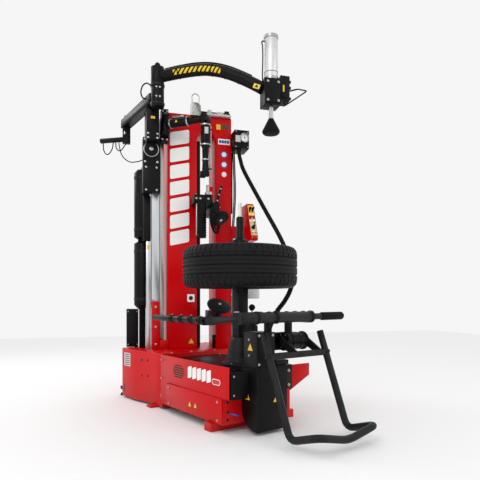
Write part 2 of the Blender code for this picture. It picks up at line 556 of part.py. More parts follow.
def build_controls(frame, base):
    """Console, gauge box, their levers and needle, the lift lever and the conduit."""
    left, right = 0.287, 0.340
    side = [(0.720, 1.210), (0.730, 1.195), (1.000, 1.195), (1.000, 1.486), (0.840, 1.486)]
    arm = box((COLUMN_RIGHT + GAP, 0.972, 1.235), (left + 0.01, 0.996, 1.330))
    part("console_box", prism(side, left, right, "X"), "red_paint", frame, add=[arm])

    low = Vector((0, 0.720, 1.210))
    slope = (Vector((0, 0.840, 1.486)) - low).normalized()
    normal = Vector((0, -slope.z, slope.y))
    for name, x, share in (("toggle_left", 0.302, 0.82), ("toggle_right", 0.325, 0.82), ("console_knob", 0.312, 0.30)):
        lift = 0.0045 if name == "console_knob" else 0.0020
        seat = low + slope * share * 0.30 + normal * lift + Vector((x, 0, 0))
        stem = turned([(0, 0), (0.003, 0), (0.006, 0.004), (0.006, 0.014), (0, 0.014)], seat, direction=normal, steps=10)
        cap = rod(seat, 0.009, 0.012, 0.030, direction=normal, steps=12)
        part(name, stem, "plastic", frame, tuple(seat), add=[cap])

    dial = Vector((0.277, 0.862, 1.996))
    part("gauge_box", box((COLUMN_RIGHT + GAP, 0.862, 1.912), (0.312, 1.020, 2.052)), "black_paint", frame,
         cut=[rod(dial, 0.031, -0.010, 0.006, direction=(0, 1, 0))])
    pointer = [(-0.003, -0.006), (0.003, -0.006), (0.0012, 0.025), (-0.0012, 0.025)]
    pointer = [(dial.x + a, dial.z + b) for a, b in pointer]
    part("gauge_needle", prism(pointer, 0.8635, 0.8650, "Y"), "bright_steel", frame, tuple(dial))

    x, y = LEVER
    knob = [(0, 0), (0.004, 0), (0.004, 0.052), (0.012, 0.056), (0.022, 0.070), (0.022, 0.082), (0.012, 0.094),
            (0, 0.098)]
    part("lift_lever", turned(knob, (x, y, 0.6275), steps=16), "plastic", base, (x, y, 0.6275))

    hose("conduit", [(0.238, 0.890, 1.9112), (0.238, 0.889, 1.885), (0.242, 0.860, 1.820), (0.257, 0.800, 1.715),
                     (0.336, 0.600, 1.428),
                     (0.415, 0.400, 1.141), (0.455, 0.350, 0.960), (0.456, 0.352, 0.841), (0.420, 0.372, 0.750),
                     (0.360, 0.372, 0.672), (0.300, 0.352, 0.560), (0.256, 0.350, 0.440), (0.2525, 0.350, 0.395),
                     (0.2525, 0.350, 0.3532)],
         0.0150, "rubber", frame, steps=5)


def main():
    clear_scene()
    frame = empty("column_frame", place=ORIGIN)
    base = empty("base_frame", frame, turn=BASE_TURN)
    build_base(base)
    build_column(frame)
    build_turntable(base)
    build_wheel_lift(base)
    build_tool(frame)
    build_discs(frame)
    build_press(frame)
    build_controls(frame, base)


main()
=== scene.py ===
import bpy
import json
import math
from mathutils import Matrix, Vector


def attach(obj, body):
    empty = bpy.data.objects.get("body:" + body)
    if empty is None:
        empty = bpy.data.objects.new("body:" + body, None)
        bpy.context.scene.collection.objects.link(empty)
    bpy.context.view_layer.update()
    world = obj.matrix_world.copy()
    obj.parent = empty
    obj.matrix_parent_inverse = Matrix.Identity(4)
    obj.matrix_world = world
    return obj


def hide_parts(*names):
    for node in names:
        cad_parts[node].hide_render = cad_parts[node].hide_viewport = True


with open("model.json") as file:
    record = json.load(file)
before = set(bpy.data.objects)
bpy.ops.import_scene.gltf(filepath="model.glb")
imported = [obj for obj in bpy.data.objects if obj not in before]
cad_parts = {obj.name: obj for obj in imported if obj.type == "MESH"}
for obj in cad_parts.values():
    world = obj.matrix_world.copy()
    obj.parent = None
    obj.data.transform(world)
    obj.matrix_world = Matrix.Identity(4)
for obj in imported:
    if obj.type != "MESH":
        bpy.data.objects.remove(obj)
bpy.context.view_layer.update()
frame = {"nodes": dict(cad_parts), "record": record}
print("frame loaded")

layout = {
    "columnShift": (0.08397, -0.4563, 0.0),    # column face runs along X
    "baseTurn": math.radians(21.04),            # the base is turned against the column
}
columnPlace = Matrix.Translation(layout["columnShift"])
basePlace = columnPlace @ Matrix.Rotation(layout["baseTurn"], 4, "Z")
mainFrame = "frame"

studio = {
    "cameraAt": (-0.6715, -3.1805, 0.759),
    "cameraHeading": -15.5,
    "lens": 36.5,
    "shiftY": 59 / 480,
    "keyWatts": 48,
    "fillWatts": 12,
    "rimWatts": 30,
}


def areaLight(name, place, aim, size, watts):
    lamp = bpy.data.lights.new(name, "AREA")
    lamp.shape = "DISK"
    lamp.size = size
    lamp.energy = watts
    holder = bpy.data.objects.new(name, lamp)
    bpy.context.collection.objects.link(holder)
    holder.location = place
    holder.rotation_euler = (Vector(aim) - Vector(place)).to_track_quat("-Z", "Y").to_euler()


def buildStudio():
    lens = bpy.data.cameras.new("studioCamera")
    lens.lens = studio["lens"]
    lens.sensor_width = 36
    lens.shift_y = studio["shiftY"]
    camera = bpy.data.objects.new("studioCamera", lens)
    bpy.context.collection.objects.link(camera)
    camera.location = studio["cameraAt"]
    camera.rotation_euler = (math.pi / 2, 0, math.radians(studio["cameraHeading"]))
    bpy.context.scene.camera = camera
    world = bpy.data.worlds.new("paleRoom")
    bpy.context.scene.world = world
    world.use_nodes = True
    sky = world.node_tree.nodes["Background"]
    sky.inputs["Color"].default_value = (1, 1, 1, 1)
    sky.inputs["Strength"].default_value = 0.92
    areaLight("keyLight", (-2.2, -3.6, 3.6), (0, 0, 1.1), 2.2, studio["keyWatts"])
    areaLight("fillLight", (2.9, -2.6, 2.2), (0, 0, 1.0), 2.0, studio["fillWatts"])
    areaLight("rimLight", (-2.4, 2.6, 3.2), (0, 0, 1.2), 1.6, studio["rimWatts"])
    bpy.context.scene.view_settings.view_transform = "Standard"


def linear(code):
    parts = [int(code[i:i + 2], 16) / 255 for i in (1, 3, 5)]
    return tuple(c / 12.92 if c <= 0.04045 else ((c + 0.055) / 1.055) ** 2.4 for c in parts) + (1.0,)


def addNode(tree, kind, settings=None, links=None):
    node = tree.nodes.new(kind)
    for key, value in (settings or {}).items():
        if isinstance(key, str) and hasattr(node, key):
            setattr(node, key, value)
        else:
            node.inputs[key].default_value = value
    for key, source in (links or {}).items():
        tree.links.new(source, node.inputs[key])
    return node


def surface(name, colour, roughness, metallic=0.0, coat=0.0, gloss=0.5):
    made = bpy.data.materials.new(name)
    made.use_nodes = True
    made.diffuse_color = linear(colour)
    shader = made.node_tree.nodes["Principled BSDF"]
    shader.inputs["Base Color"].default_value = linear(colour)
    shader.inputs["Roughness"].default_value = roughness
    shader.inputs["Metallic"].default_value = metallic
    shader.inputs["Coat Weight"].default_value = coat
    shader.inputs["Specular IOR Level"].default_value = gloss
    return made, made.node_tree, shader


def mottled(tree, shader, colours, grain, stretch=(1, 1, 1), rough=None, bump=0.0, depth=0.0005,
            detail=4):    # grain in metres
    place = addNode(tree, "ShaderNodeTexCoord")
    turn = addNode(tree, "ShaderNodeMapping", {"Scale": stretch}, {"Vector": place.outputs["Object"]})
    noise = addNode(tree, "ShaderNodeTexNoise", {"Scale": 1 / grain, "Detail": detail},
                    {"Vector": turn.outputs[0]})
    ramp = addNode(tree, "ShaderNodeValToRGB", {}, {"Fac": noise.outputs["Fac"]})
    ramp.color_ramp.elements[0].position = 0.3
    ramp.color_ramp.elements[1].position = 0.7
    ramp.color_ramp.elements[0].color = linear(colours[0])
    ramp.color_ramp.elements[1].color = linear(colours[1])
    tree.links.new(ramp.outputs["Color"], shader.inputs["Base Color"])
    if rough:
        spread = addNode(tree, "ShaderNodeMapRange", {"To Min": rough[0], "To Max": rough[1]},
                         {"Value": noise.outputs["Fac"]})
        tree.links.new(spread.outputs["Result"], shader.inputs["Roughness"])
    if bump:
        raised = addNode(tree, "ShaderNodeBump", {"Strength": bump, "Distance": depth},
                         {"Height": noise.outputs["Fac"]})
        tree.links.new(raised.outputs["Normal"], shader.inputs["Normal"])
    return ramp


def orangePeel(tree, shader, size, strength, depth=0.0004):
    place = addNode(tree, "ShaderNodeTexCoord")
    peel = addNode(tree, "ShaderNodeTexNoise", {"Scale": 1 / size, "Detail": 2.0},
                   {"Vector": place.outputs["Object"]})
    raised = addNode(tree, "ShaderNodeBump", {"Strength": strength, "Distance": depth},
                     {"Height": peel.outputs["Fac"]})
    tree.links.new(raised.outputs["Normal"], shader.inputs["Normal"])


materials = {}


def makeRedPowderCoat():
    # polyester powder coat on sheet steel: glossy, slight orange peel 4 mm across, a dusty bloom low down
    made, tree, shader = surface("redPowderCoat", "#bf0912", 0.3, gloss=0.16)
    ramp = mottled(tree, shader, ("#c20008", "#cd030c"), 0.3, rough=(0.26, 0.38))
    orangePeel(tree, shader, 0.004, 0.05)
    place = addNode(tree, "ShaderNodeTexCoord")
    split = addNode(tree, "ShaderNodeSeparateXYZ", {}, {"Vector": place.outputs["Object"]})
    low = addNode(tree, "ShaderNodeMapRange", {"From Min": 0.0, "From Max": 0.16, "To Min": 0.16,
                                               "To Max": 0.0},
                  {"Value": split.outputs["Z"]})
    dust = addNode(tree, "ShaderNodeMixRGB", {"Color2": linear("#8a5a52")},
                   {"Fac": low.outputs["Result"], "Color1": ramp.outputs["Color"]})
    tree.links.new(dust.outputs["Color"], shader.inputs["Base Color"])
    materials["red_paint"] = made


def makeBlackPowderCoat():
    # textured powder coat: satin black with a fine 2 mm grain that breaks up the highlights
    made, tree, shader = surface("blackPowderCoat", "#0b0b0c", 0.42, gloss=0.16)
    mottled(tree, shader, ("#050506", "#0c0c0d"), 0.06, rough=(0.34, 0.5))
    orangePeel(tree, shader, 0.0022, 0.22)
    materials["black_paint"] = made


def makeGreyEnamel():
    # brushed-on machine enamel: dark grey, half gloss, slightly uneven
    made, tree, shader = surface("greyEnamel", "#232426", 0.45, gloss=0.18)
    mottled(tree, shader, ("#141516", "#202123"), 0.045, rough=(0.36, 0.55))
    orangePeel(tree, shader, 0.003, 0.15)
    materials["grey_paint"] = made


def makeAnodisedAluminium():
    # clear anodised extrusion: drawn lines along its length, about 1 mm apart
    made, tree, shader = surface("anodisedAluminium", "#cfd1d3", 0.3, metallic=1.0)
    mottled(tree, shader, ("#bfc2c5", "#dcdedf"), 0.0012, stretch=(1, 1, 0.01), rough=(0.24, 0.4), bump=0.06)
    materials["aluminium"] = made


def makeZincSteel():
    # zinc-plated and ground steel: cool grey with a faint spangle 8 mm across
    made, tree, shader = surface("zincSteel", "#b4b3af", 0.3, metallic=1.0)
    mottled(tree, shader, ("#a3a29d", "#c6c5c1"), 0.008, rough=(0.22, 0.42), bump=0.04)
    materials["bright_steel"] = made


def makeBlackRubber():
    # extruded hose and moulded roller rubber: dull, with a powdery bloom
    made, tree, shader = surface("blackRubber", "#111111", 0.7, gloss=0.14)
    mottled(tree, shader, ("#080808", "#121212"), 0.012, rough=(0.6, 0.85), bump=0.12)
    materials["rubber"] = made


def makeTyreRubber():
    # moulded tyre tread: soft black with fine mould lines and a grey bloom
    made, tree, shader = surface("tyreRubber", "#141415", 0.66, gloss=0.18)
    mottled(tree, shader, ("#0a0a0b", "#151516"), 0.02, rough=(0.5, 0.74), bump=0.15, depth=0.0004)
    materials["tyre_rubber"] = made


def makeAlloyLacquer():
    # cast wheel alloy under clear lacquer: fine sparkle, soft gloss
    made, tree, shader = surface("alloyLacquer", "#a7a9ac", 0.32, metallic=1.0, coat=0.4)
    mottled(tree, shader, ("#9b9da0", "#b3b5b8"), 0.003, rough=(0.26, 0.4))
    materials["alloy"] = made


def makeBlackNylon():
    # glass-filled nylon moulding: matt black with a 1.5 mm spark-eroded grain
    made, tree, shader = surface("blackNylon", "#141415", 0.5, gloss=0.16)
    mottled(tree, shader, ("#0a0a0b", "#131314"), 0.03, rough=(0.44, 0.6))
    orangePeel(tree, shader, 0.0015, 0.18)
    materials["plastic"] = made


def makePlain(key, name, colour, roughness, metallic=0.0, grain=0.02, spread=0.06):
    # small finishes: vinyl, lacquer and brass, each with a slight unevenness of its own
    made, tree, shader = surface(name, colour, roughness, metallic)
    parts = [int(colour[i:i + 2], 16) for i in (1, 3, 5)]
    dark = "#" + "".join("%02x" % max(0, int(c * (1 - spread))) for c in parts)
    mottled(tree, shader, (dark, colour), grain, rough=(roughness * 0.85, min(1.0, roughness * 1.15)))
    materials[key] = made


def makeStripedPaint():
    # the press arm's textured black with a vinyl band of slanted yellow and black stripes
    made, tree, shader = surface("stripedBlackPaint", "#0b0b0c", 0.42, gloss=0.16)
    ramp = mottled(tree, shader, ("#050506", "#0c0c0d"), 0.06, rough=(0.34, 0.5))
    orangePeel(tree, shader, 0.0022, 0.18)
    band = {"start": 0.13, "end": 0.47, "pitch": 0.033, "slant": 0.8, "low": -0.62, "high": 0.22}
    post = columnPlace @ Vector((-0.402, 0.708, 0))
    heading = math.atan2(0.305 - 0.708, 0.296 + 0.402)
    place = addNode(tree, "ShaderNodeTexCoord")
    moved = addNode(tree, "ShaderNodeVectorMath", {"operation": "SUBTRACT"}, {0: place.outputs["Object"]})
    moved.inputs[1].default_value = (post.x, post.y, 0)
    local = addNode(tree, "ShaderNodeVectorRotate", {"rotation_type": "Z_AXIS", "Angle": -heading},
                    {"Vector": moved.outputs[0]})
    split = addNode(tree, "ShaderNodeSeparateXYZ", {}, {"Vector": local.outputs[0]})
    lean = addNode(tree, "ShaderNodeMath", {"operation": "MULTIPLY_ADD", 1: -band["slant"]},
                   {0: split.outputs["Z"], 2: split.outputs["X"]})
    turns = addNode(tree, "ShaderNodeMath", {"operation": "DIVIDE", 1: band["pitch"]}, {0: lean.outputs[0]})
    part = addNode(tree, "ShaderNodeMath", {"operation": "FRACT"}, {0: turns.outputs[0]})
    stripe = addNode(tree, "ShaderNodeMath", {"operation": "GREATER_THAN", 1: 0.45}, {0: part.outputs[0]})
    mask = stripe
    for axis, kind, limit in (("X", "GREATER_THAN", band["start"]), ("X", "LESS_THAN", band["end"]),
                              ("Y", "LESS_THAN", 0.0)):
        edge = addNode(tree, "ShaderNodeMath", {"operation": kind, 1: limit}, {0: split.outputs[axis]})
        mask = addNode(tree, "ShaderNodeMath", {"operation": "MULTIPLY"},
                       {0: mask.outputs[0], 1: edge.outputs[0]})
    face = addNode(tree, "ShaderNodeSeparateXYZ", {}, {"Vector": place.outputs["Normal"]})
    for kind, limit in (("GREATER_THAN", band["low"]), ("LESS_THAN", band["high"])):
        edge = addNode(tree, "ShaderNodeMath", {"operation": kind, 1: limit}, {0: face.outputs["Z"]})
        mask = addNode(tree, "ShaderNodeMath", {"operation": "MULTIPLY"},
                       {0: mask.outputs[0], 1: edge.outputs[0]})
    shade = addNode(tree, "ShaderNodeMixRGB", {"Color2": linear("#e8c21a")},
                    {"Fac": mask.outputs[0], "Color1": ramp.outputs["Color"]})
    tree.links.new(shade.outputs["Color"], shader.inputs["Base Color"])
    materials["stripes"] = made


def makeMaterials():
    makeRedPowderCoat()
    makeBlackPowderCoat()
    makeGreyEnamel()
    makeAnodisedAluminium()
    makeZincSteel()
    makeBlackRubber()
    makeTyreRubber()
    makeAlloyLacquer()
    makeBlackNylon()
    makeStripedPaint()
    makePlain("white", "whiteVinyl", "#f4f4f2", 0.35, spread=0.015)
    makePlain("yellow", "yellowVinyl", "#f0c419", 0.35)
    makePlain("blueVinyl", "blueVinyl", "#2456a8", 0.35)
    makePlain("signRed", "redVinyl", "#c8232c", 0.35)
    makePlain("brown", "brownLacquer", "#5c3a20", 0.3)
    makePlain("brass", "turnedBrass", "#c8924a", 0.28, metallic=1.0, grain=0.004)
    # deep black for the black buttons, the gauge hub and printed marks, and also painted shade laid in hole and
    # slot openings
    makePlain("dark", "deepBlackAndPaintedShade", "#0a0a0a", 0.6)
    makePlain("paleGrey", "paleGreyEnamel", "#c9cac8", 0.4)
    makePlain("beige", "beigePanelFilm", "#d8c690", 0.4, spread=0.1)
    makePlain("airLine", "bluePolyurethane", "#1f55c4", 0.28)
    makePlain("satinCylinder", "satinAluminium", "#dcdddf", 0.46, metallic=1.0, grain=0.03, spread=0.04)


def clearSelection():
    if bpy.context.object and bpy.context.object.mode != "OBJECT":
        bpy.ops.object.mode_set(mode="OBJECT")
    bpy.ops.object.select_all(action="DESELECT")


def pickOnly(piece):
    clearSelection()
    piece.select_set(True)
    bpy.context.view_layer.objects.active = piece


def applyModifier(piece, kind, settings):
    pickOnly(piece)
    modifier = piece.modifiers.new(kind.lower(), kind)
    for key, value in settings.items():
        setattr(modifier, key, value)
    bpy.ops.object.modifier_apply(modifier=modifier.name)


def soften(piece, width, segments=2, angle=35):
    applyModifier(piece, "BEVEL", {"width": width, "segments": segments, "limit_method": "ANGLE",
                                   "angle_limit": math.radians(angle)})


def bakePlace(piece, place):
    pickOnly(piece)
    piece.matrix_world = place
    bpy.ops.object.transform_apply(location=True, rotation=True, scale=True)


def finishPiece(piece, name, finish, body=mainFrame, smoothAngle=35):
    piece.name = name
    piece.data.name = name
    piece.data.materials.clear()
    piece.data.materials.append(materials[finish])
    pickOnly(piece)
    bpy.ops.object.shade_smooth_by_angle(angle=math.radians(smoothAngle))
    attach(piece, body)
    return piece


def addBlock(low, high, place, width=0.0015, segments=2):
    clearSelection()
    centre = [(a + b) / 2 for a, b in zip(low, high)]
    size = [b - a for a, b in zip(low, high)]
    bpy.ops.mesh.primitive_cube_add(size=1, location=centre)
    piece = bpy.context.object
    piece.scale = size
    bpy.ops.object.transform_apply(location=True, rotation=True, scale=True)
    if width:
        soften(piece, width, segments)
    bakePlace(piece, place)
    return piece


def addRound(centre, normal, radius, depth, place, sides=32, width=0.0,
             twist=0.0):    # bar or disc
    clearSelection()
    bpy.ops.mesh.primitive_cylinder_add(vertices=sides, radius=radius, depth=depth,
                                        location=(0, 0, depth / 2))
    piece = bpy.context.object
    bpy.ops.object.transform_apply(location=True, rotation=True, scale=True)
    if width:
        soften(piece, width, 2)
    turn = Vector(normal).to_track_quat("Z", "Y").to_matrix().to_4x4() @ Matrix.Rotation(twist, 4, "Z")
    bakePlace(piece, place @ Matrix.Translation(centre) @ turn)
    return piece


def spinProfile(profile, steps=64):    # (radius, height) points, spun round Z
    clearSelection()

    mesh = bpy.data.meshes.new("profile")
    mesh.from_pydata([(r, 0, z) for r, z in profile], [(i, i + 1) for i in range(len(profile) - 1)], [])
    piece = bpy.data.objects.new("profile", mesh)
    bpy.context.collection.objects.link(piece)
    pickOnly(piece)
    bpy.ops.object.mode_set(mode="EDIT")
    bpy.ops.mesh.select_all(action="SELECT")
    bpy.ops.mesh.spin(steps=steps, angle=2 * math.pi, center=(0, 0, 0), axis=(0, 0, 1))
    bpy.ops.mesh.select_all(action="SELECT")
    bpy.ops.mesh.remove_doubles(threshold=0.00002)
    bpy.ops.mesh.normals_make_consistent(inside=False)
    bpy.ops.object.mode_set(mode="OBJECT")
    return piece


def joinPieces(group):
    clearSelection()
    for piece in group:
        piece.select_set(True)
    bpy.context.view_layer.objects.active = group[0]
    if len(group) > 1:
        bpy.ops.object.join()
    return bpy.context.view_layer.objects.active


def addCable(points, radius, place, sides=4, radii=None):    # hose on a smooth curve
    line = bpy.data.curves.new("line", "CURVE")
    line.dimensions = "3D"
    spline = line.splines.new("BEZIER")
    spline.bezier_points.add(len(points) - 1)
    for knot, point in zip(spline.bezier_points, points):
        knot.co = point
        knot.handle_left_type = "AUTO"
        knot.handle_right_type = "AUTO"
    if radii:
        for knot, share in zip(spline.bezier_points, radii):
            knot.radius = share
    line.bevel_depth = radius
    line.bevel_resolution = sides
    line.resolution_u = 10
    line.use_fill_caps = True
    piece = bpy.data.objects.new("line", line)
    bpy.context.collection.objects.link(piece)
    pickOnly(piece)
    bpy.ops.object.convert(target="MESH")
    piece = bpy.context.object
    bakePlace(piece, place)
    return piece


masterBolt = {"radius": 0.008, "head": 0.0055, "washer": 0.0016}


def makeBolt():
    washer = addRound((0, 0, 0), (0, 0, 1), masterBolt["radius"] * 1.35, masterBolt["washer"], Matrix(), 20,
                      0.0003)
    head = addRound((0, 0, masterBolt["washer"]), (0, 0, 1), masterBolt["radius"], masterBolt["head"],
                    Matrix(), 6, 0.0006)
    bolt = joinPieces([washer, head])
    bolt.name = "boltMaster"
    return bolt


def boltSet(name, spots, place, body=mainFrame, finish="bright_steel"):    # spots: point, outward, radius
    group = []
    for number, (point, normal, radius) in enumerate(spots):
        copy = makeBolt()
        share = radius / masterBolt["radius"]
        twist = Matrix.Rotation(number * 0.7, 4, "Z")    # no two heads line up
        turn = Vector(normal).to_track_quat("Z", "Y").to_matrix().to_4x4() @ twist
        bakePlace(copy, place @ Matrix.Translation(point) @ turn @ Matrix.Scale(share, 4))
        group.append(copy)
    return finishPiece(joinPieces(group), name, finish, body, 30)


def wornCadNodes():    # small edge rounds and the finishes
    finishes = {entry["node"]: entry["material_slot"] for entry in frame["record"]["subparts"]}
    for name, node in frame["nodes"].items():
        node.data.materials.clear()
        node.data.materials.append(materials[finishes[name]])
        for face in node.data.polygons:
            face.use_smooth = True
        weld = node.modifiers.new("weld", "WELD")
        weld.merge_threshold = 0.00001
        edge = node.modifiers.new("edge", "BEVEL")
        edge.width = edgeRounds.get(name, 0.0012)
        edge.segments = 2
        edge.limit_method = "ANGLE"
        edge.angle_limit = math.radians(32)
        edge.harden_normals = True
    frame["nodes"]["press_arm"].data.materials[0] = materials["stripes"]
    frame["nodes"]["tool_slide"].data.materials[0] = materials["black_paint"]
    frame["nodes"]["press_cylinder"].data.materials[0] = materials["satinCylinder"]


edgeRounds = {"gauge_needle": 0.0002, "press_handle": 0.0003, "guide_strip": 0.001,
              "side_panel": 0.0004, "conduit": 0.0004, "press_hose": 0.0004, "cable_loop": 0.0004,
              "column": 0.003, "cabinet": 0.003, "base_box": 0.0025, "tyre": 0.002}


buildStudio()
makeMaterials()
wornCadNodes()
print("studio, materials and frame finishes ready")

wheel = {
    "centre": (0.134, -0.2763, 0.9505),
    "steps": 180,
    "sipeEvery": 3,
    "grooves": ((-0.071, 0.0014, 0.003), (-0.048, 0.0048, 0.008), (-0.024, 0.0014, 0.003),
                (0.0, 0.0048, 0.008),
                (0.024, 0.0014, 0.003), (0.048, 0.0048, 0.008), (0.071, 0.0014, 0.003)),
    "spokes": 10,
}


def tyreProfile():
    outside = [(0.2413, -0.1), (0.262, -0.1), (0.268, -0.106), (0.275, -0.1135), (0.288, -0.1215),
               (0.3, -0.1248), (0.318, -0.1225), (0.33, -0.118), (0.337, -0.113), (0.344, -0.104),
               (0.349, -0.094), (0.3508, -0.08)]
    for groove, half, depth in wheel["grooves"]:
        for side, drop in ((-1.0, 0), (-0.8, 1), (0.8, 1), (1.0, 0)):
            outside.append((0.3522 - drop * depth, groove + side * half))
    outside += [(r, -z) for r, z in reversed(outside[:12])]
    inside = [(0.2413, 0.078), (0.258, 0.078), (0.282, 0.104), (0.3, 0.113), (0.322, 0.105), (0.338, 0.09),
              (0.338, -0.09), (0.322, -0.105), (0.3, -0.113), (0.282, -0.104), (0.258, -0.078),
              (0.2413, -0.078)]
    return outside + inside + [outside[0]]


def cutSipes(tyre):    # shoulder and rib cuts pressed in across the tread
    pickOnly(tyre)
    bpy.ops.object.mode_set(mode="EDIT")
    bpy.ops.mesh.select_all(action="DESELECT")
    bpy.ops.object.mode_set(mode="OBJECT")
    pitch = 2 * math.pi / wheel["steps"]
    for face in tyre.data.polygons:
        spot = face.center
        radius = math.hypot(spot.x, spot.y)
        sector = int(round(math.atan2(spot.y, spot.x) / pitch - 0.5))
        shoulder = 0.08 < abs(spot.z) < 0.1125 and radius > 0.34
        rib = radius > 0.3518 and 0.05 < abs(spot.z) < 0.07
        shift = 1 if spot.z > 0 else 0
        if (shoulder and (sector + shift) % wheel["sipeEvery"] == 0) or (rib and sector % 4 == 1):
            face.select = True
    bpy.ops.object.mode_set(mode="EDIT")
    bpy.ops.mesh.extrude_region_shrink_fatten(TRANSFORM_OT_shrink_fatten={"value": -0.0028})
    bpy.ops.object.mode_set(mode="OBJECT")


def buildWheel():
    place = Matrix.Translation(wheel["centre"])
    tyre = spinProfile(tyreProfile(), wheel["steps"])
    cutSipes(tyre)
    bakePlace(tyre, place)
    finishPiece(tyre, "treadedTyre", "tyre_rubber", "turntable", 28)
    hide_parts("tyre")

    lip, seat, well = 0.258, 0.2408, 0.23
    barrel = [(well, -0.1075), (lip, -0.1075), (lip, -0.101), (0.246, -0.1005), (seat, -0.096), (seat, -0.07),
              (0.236, -0.06), (0.236, 0.04), (seat, 0.06), (seat, 0.096), (0.246, 0.1005), (lip, 0.101),
              (lip, 0.1075), (0.25, 0.1075), (0.246, 0.1), (0.232, 0.096), (0.228, 0.06), (0.224, 0.04),
              (0.22, 0.0), (0.226, -0.04), (well, -0.08), (well, -0.1075)]
    parts = [spinProfile(barrel, 96)]
    hub = [(0.0345, 0.0), (0.078, 0.0), (0.084, 0.006), (0.084, 0.017), (0.076, 0.024), (0.0345, 0.024),
           (0.0345, 0.0)]
    parts.append(spinProfile(hub, 64))
    for number in range(wheel["spokes"]):
        angle = 2 * math.pi * number / wheel["spokes"]
        spoke = addBlock((0.074, -0.013, 0.001), (0.228, 0.013, 0.0225), Matrix(), 0.004, 3)
        bakePlace(spoke, Matrix.Rotation(angle, 4, "Z"))
        parts.append(spoke)
    rim = joinPieces(parts)
    bakePlace(rim, place)
    finishPiece(rim, "spokedRim", "alloy", "turntable", 32)
    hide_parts("rim_barrel", "rim_disc")
    lugs = []
    for number in range(5):
        angle = 2 * math.pi * number / 5
        lugs.append(((0.065 * math.cos(angle), 0.065 * math.sin(angle), 0.0242), (0, 0, 1), 0.0062))
    boltSet("rimLugs", lugs, place, "turntable")


def facing(point, normal, up=(0, 0, 1)):
    z = Vector(normal).normalized()
    x = Vector(up).cross(z).normalized()
    y = z.cross(x)
    turned = Matrix((x, y, z)).transposed().to_4x4()
    return Matrix.Translation(point) @ turned


def addLabel(width, height, corner, thickness, place, lean=0.0):
    clearSelection()
    bpy.ops.mesh.primitive_plane_add(size=1, location=(0, 0, 0))
    piece = bpy.context.object
    piece.scale = (width, height, 1)
    bpy.ops.object.transform_apply(location=True, rotation=True, scale=True)
    if lean:
        bpy.ops.object.mode_set(mode="EDIT")
        bpy.ops.mesh.select_all(action="DESELECT")
        bpy.ops.object.mode_set(mode="OBJECT")
        for corners in piece.data.vertices:
            corners.select = corners.co.x > 0
        bpy.ops.object.mode_set(mode="EDIT")
        bpy.ops.transform.translate(value=(0, lean, 0))
        bpy.ops.object.mode_set(mode="OBJECT")
    if corner:
        bpy.ops.object.mode_set(mode="EDIT")
        bpy.ops.mesh.select_all(action="SELECT")
        bpy.ops.mesh.bevel(offset=corner, segments=4, affect="VERTICES")
        bpy.ops.object.mode_set(mode="OBJECT")
    applyModifier(piece, "SOLIDIFY", {"thickness": thickness, "offset": 1.0})
    bakePlace(piece, place)
    return piece


def addTriangle(size, thickness, place):
    clearSelection()
    bpy.ops.mesh.primitive_circle_add(vertices=3, radius=size, fill_type="NGON")
    piece = bpy.context.object
    bpy.ops.object.mode_set(mode="EDIT")
    bpy.ops.mesh.select_all(action="SELECT")
    bpy.ops.mesh.bevel(offset=size * 0.16, segments=3, affect="VERTICES")
    bpy.ops.object.mode_set(mode="OBJECT")
    applyModifier(piece, "SOLIDIFY", {"thickness": thickness, "offset": 1.0})
    bakePlace(piece, place)
    return piece


def signTriangles(name, spots, place, body=mainFrame):    # spots: point, normal, size
    borders = [addTriangle(size, 0.0003, place @ facing(point, normal)) for point, normal, size in spots]
    fills = [addTriangle(size * 0.8, 0.0005, place @ facing(point, normal)) for point, normal, size in spots]
    finishPiece(joinPieces(borders), name + "Borders", "dark", body)
    finishPiece(joinPieces(fills), name + "Fills", "yellow", body)


columnLook = {
    "faceY": 0.9668,
    "bars": 7,
    "barX": -0.2085,
    "barWidth": 0.146,
    "barLow": 1.178,
    "barPitch": 0.126,
    "barHeight": 0.102,
}


def buildColumnGraphics():
    front = (0, -1, 0)
    group = []
    for number in range(columnLook["bars"]):
        z = columnLook["barLow"] + 0.035 + number * columnLook["barPitch"]
        place = columnPlace @ facing((columnLook["barX"], columnLook["faceY"], z), front)
        group.append(addLabel(columnLook["barWidth"], columnLook["barHeight"], 0.012, 0.0003, place,
                              lean=0.034))
    finishPiece(joinPieces(group), "columnWhiteBars", "white")
    signTriangles("columnTriangles", [((-0.12, 0.9668, 0.432), front, 0.033)], columnPlace)
    face = columnLook["faceY"]
    finishPiece(addLabel(0.056, 0.058, 0.004, 0.0003, columnPlace @ facing((-0.122, face, 0.766), front)),
                "columnSquareLabel", "white")
    finishPiece(addRound((-0.122, face - 0.0003, 0.766), front, 0.016, 0.0003, columnPlace, 28),
                "columnSquareMark", "dark")
    finishPiece(addLabel(0.094, 0.044, 0.003, 0.0003, columnPlace @ facing((0.139, face, 1.984), front)),
                "columnNoticeLabel", "white")
    dots = [addLabel(0.019, 0.022, 0.003, 0.0003, columnPlace @ facing((x, face - 0.0003, 1.984), front))
            for x in (0.108, 0.129, 0.15, 0.171)]
    finishPiece(joinPieces(dots), "columnNoticeFields", "blueVinyl")
    finishPiece(addLabel(0.066, 0.038, 0.002, 0.0004, columnPlace @ facing((0.147, face, 2.1), front)),
                "columnBrownTag", "brown")
    finishPiece(addLabel(0.034, 0.04, 0.002, 0.0004, columnPlace @ facing((0.094, face, 2.096), front)),
                "columnYellowTag", "yellow")
    for number, (z, rim) in enumerate(((1.885, "blueVinyl"), (1.807, "blueVinyl"), (1.73, "signRed"))):
        finishPiece(addRound((0.139, face, z), front, 0.027, 0.0003, columnPlace, 32),
                    "columnRoundLabel%d" % number, rim)
        finishPiece(addRound((0.139, face - 0.0003, z), front, 0.019, 0.0002, columnPlace, 32),
                    "columnRoundCore%d" % number, "white")


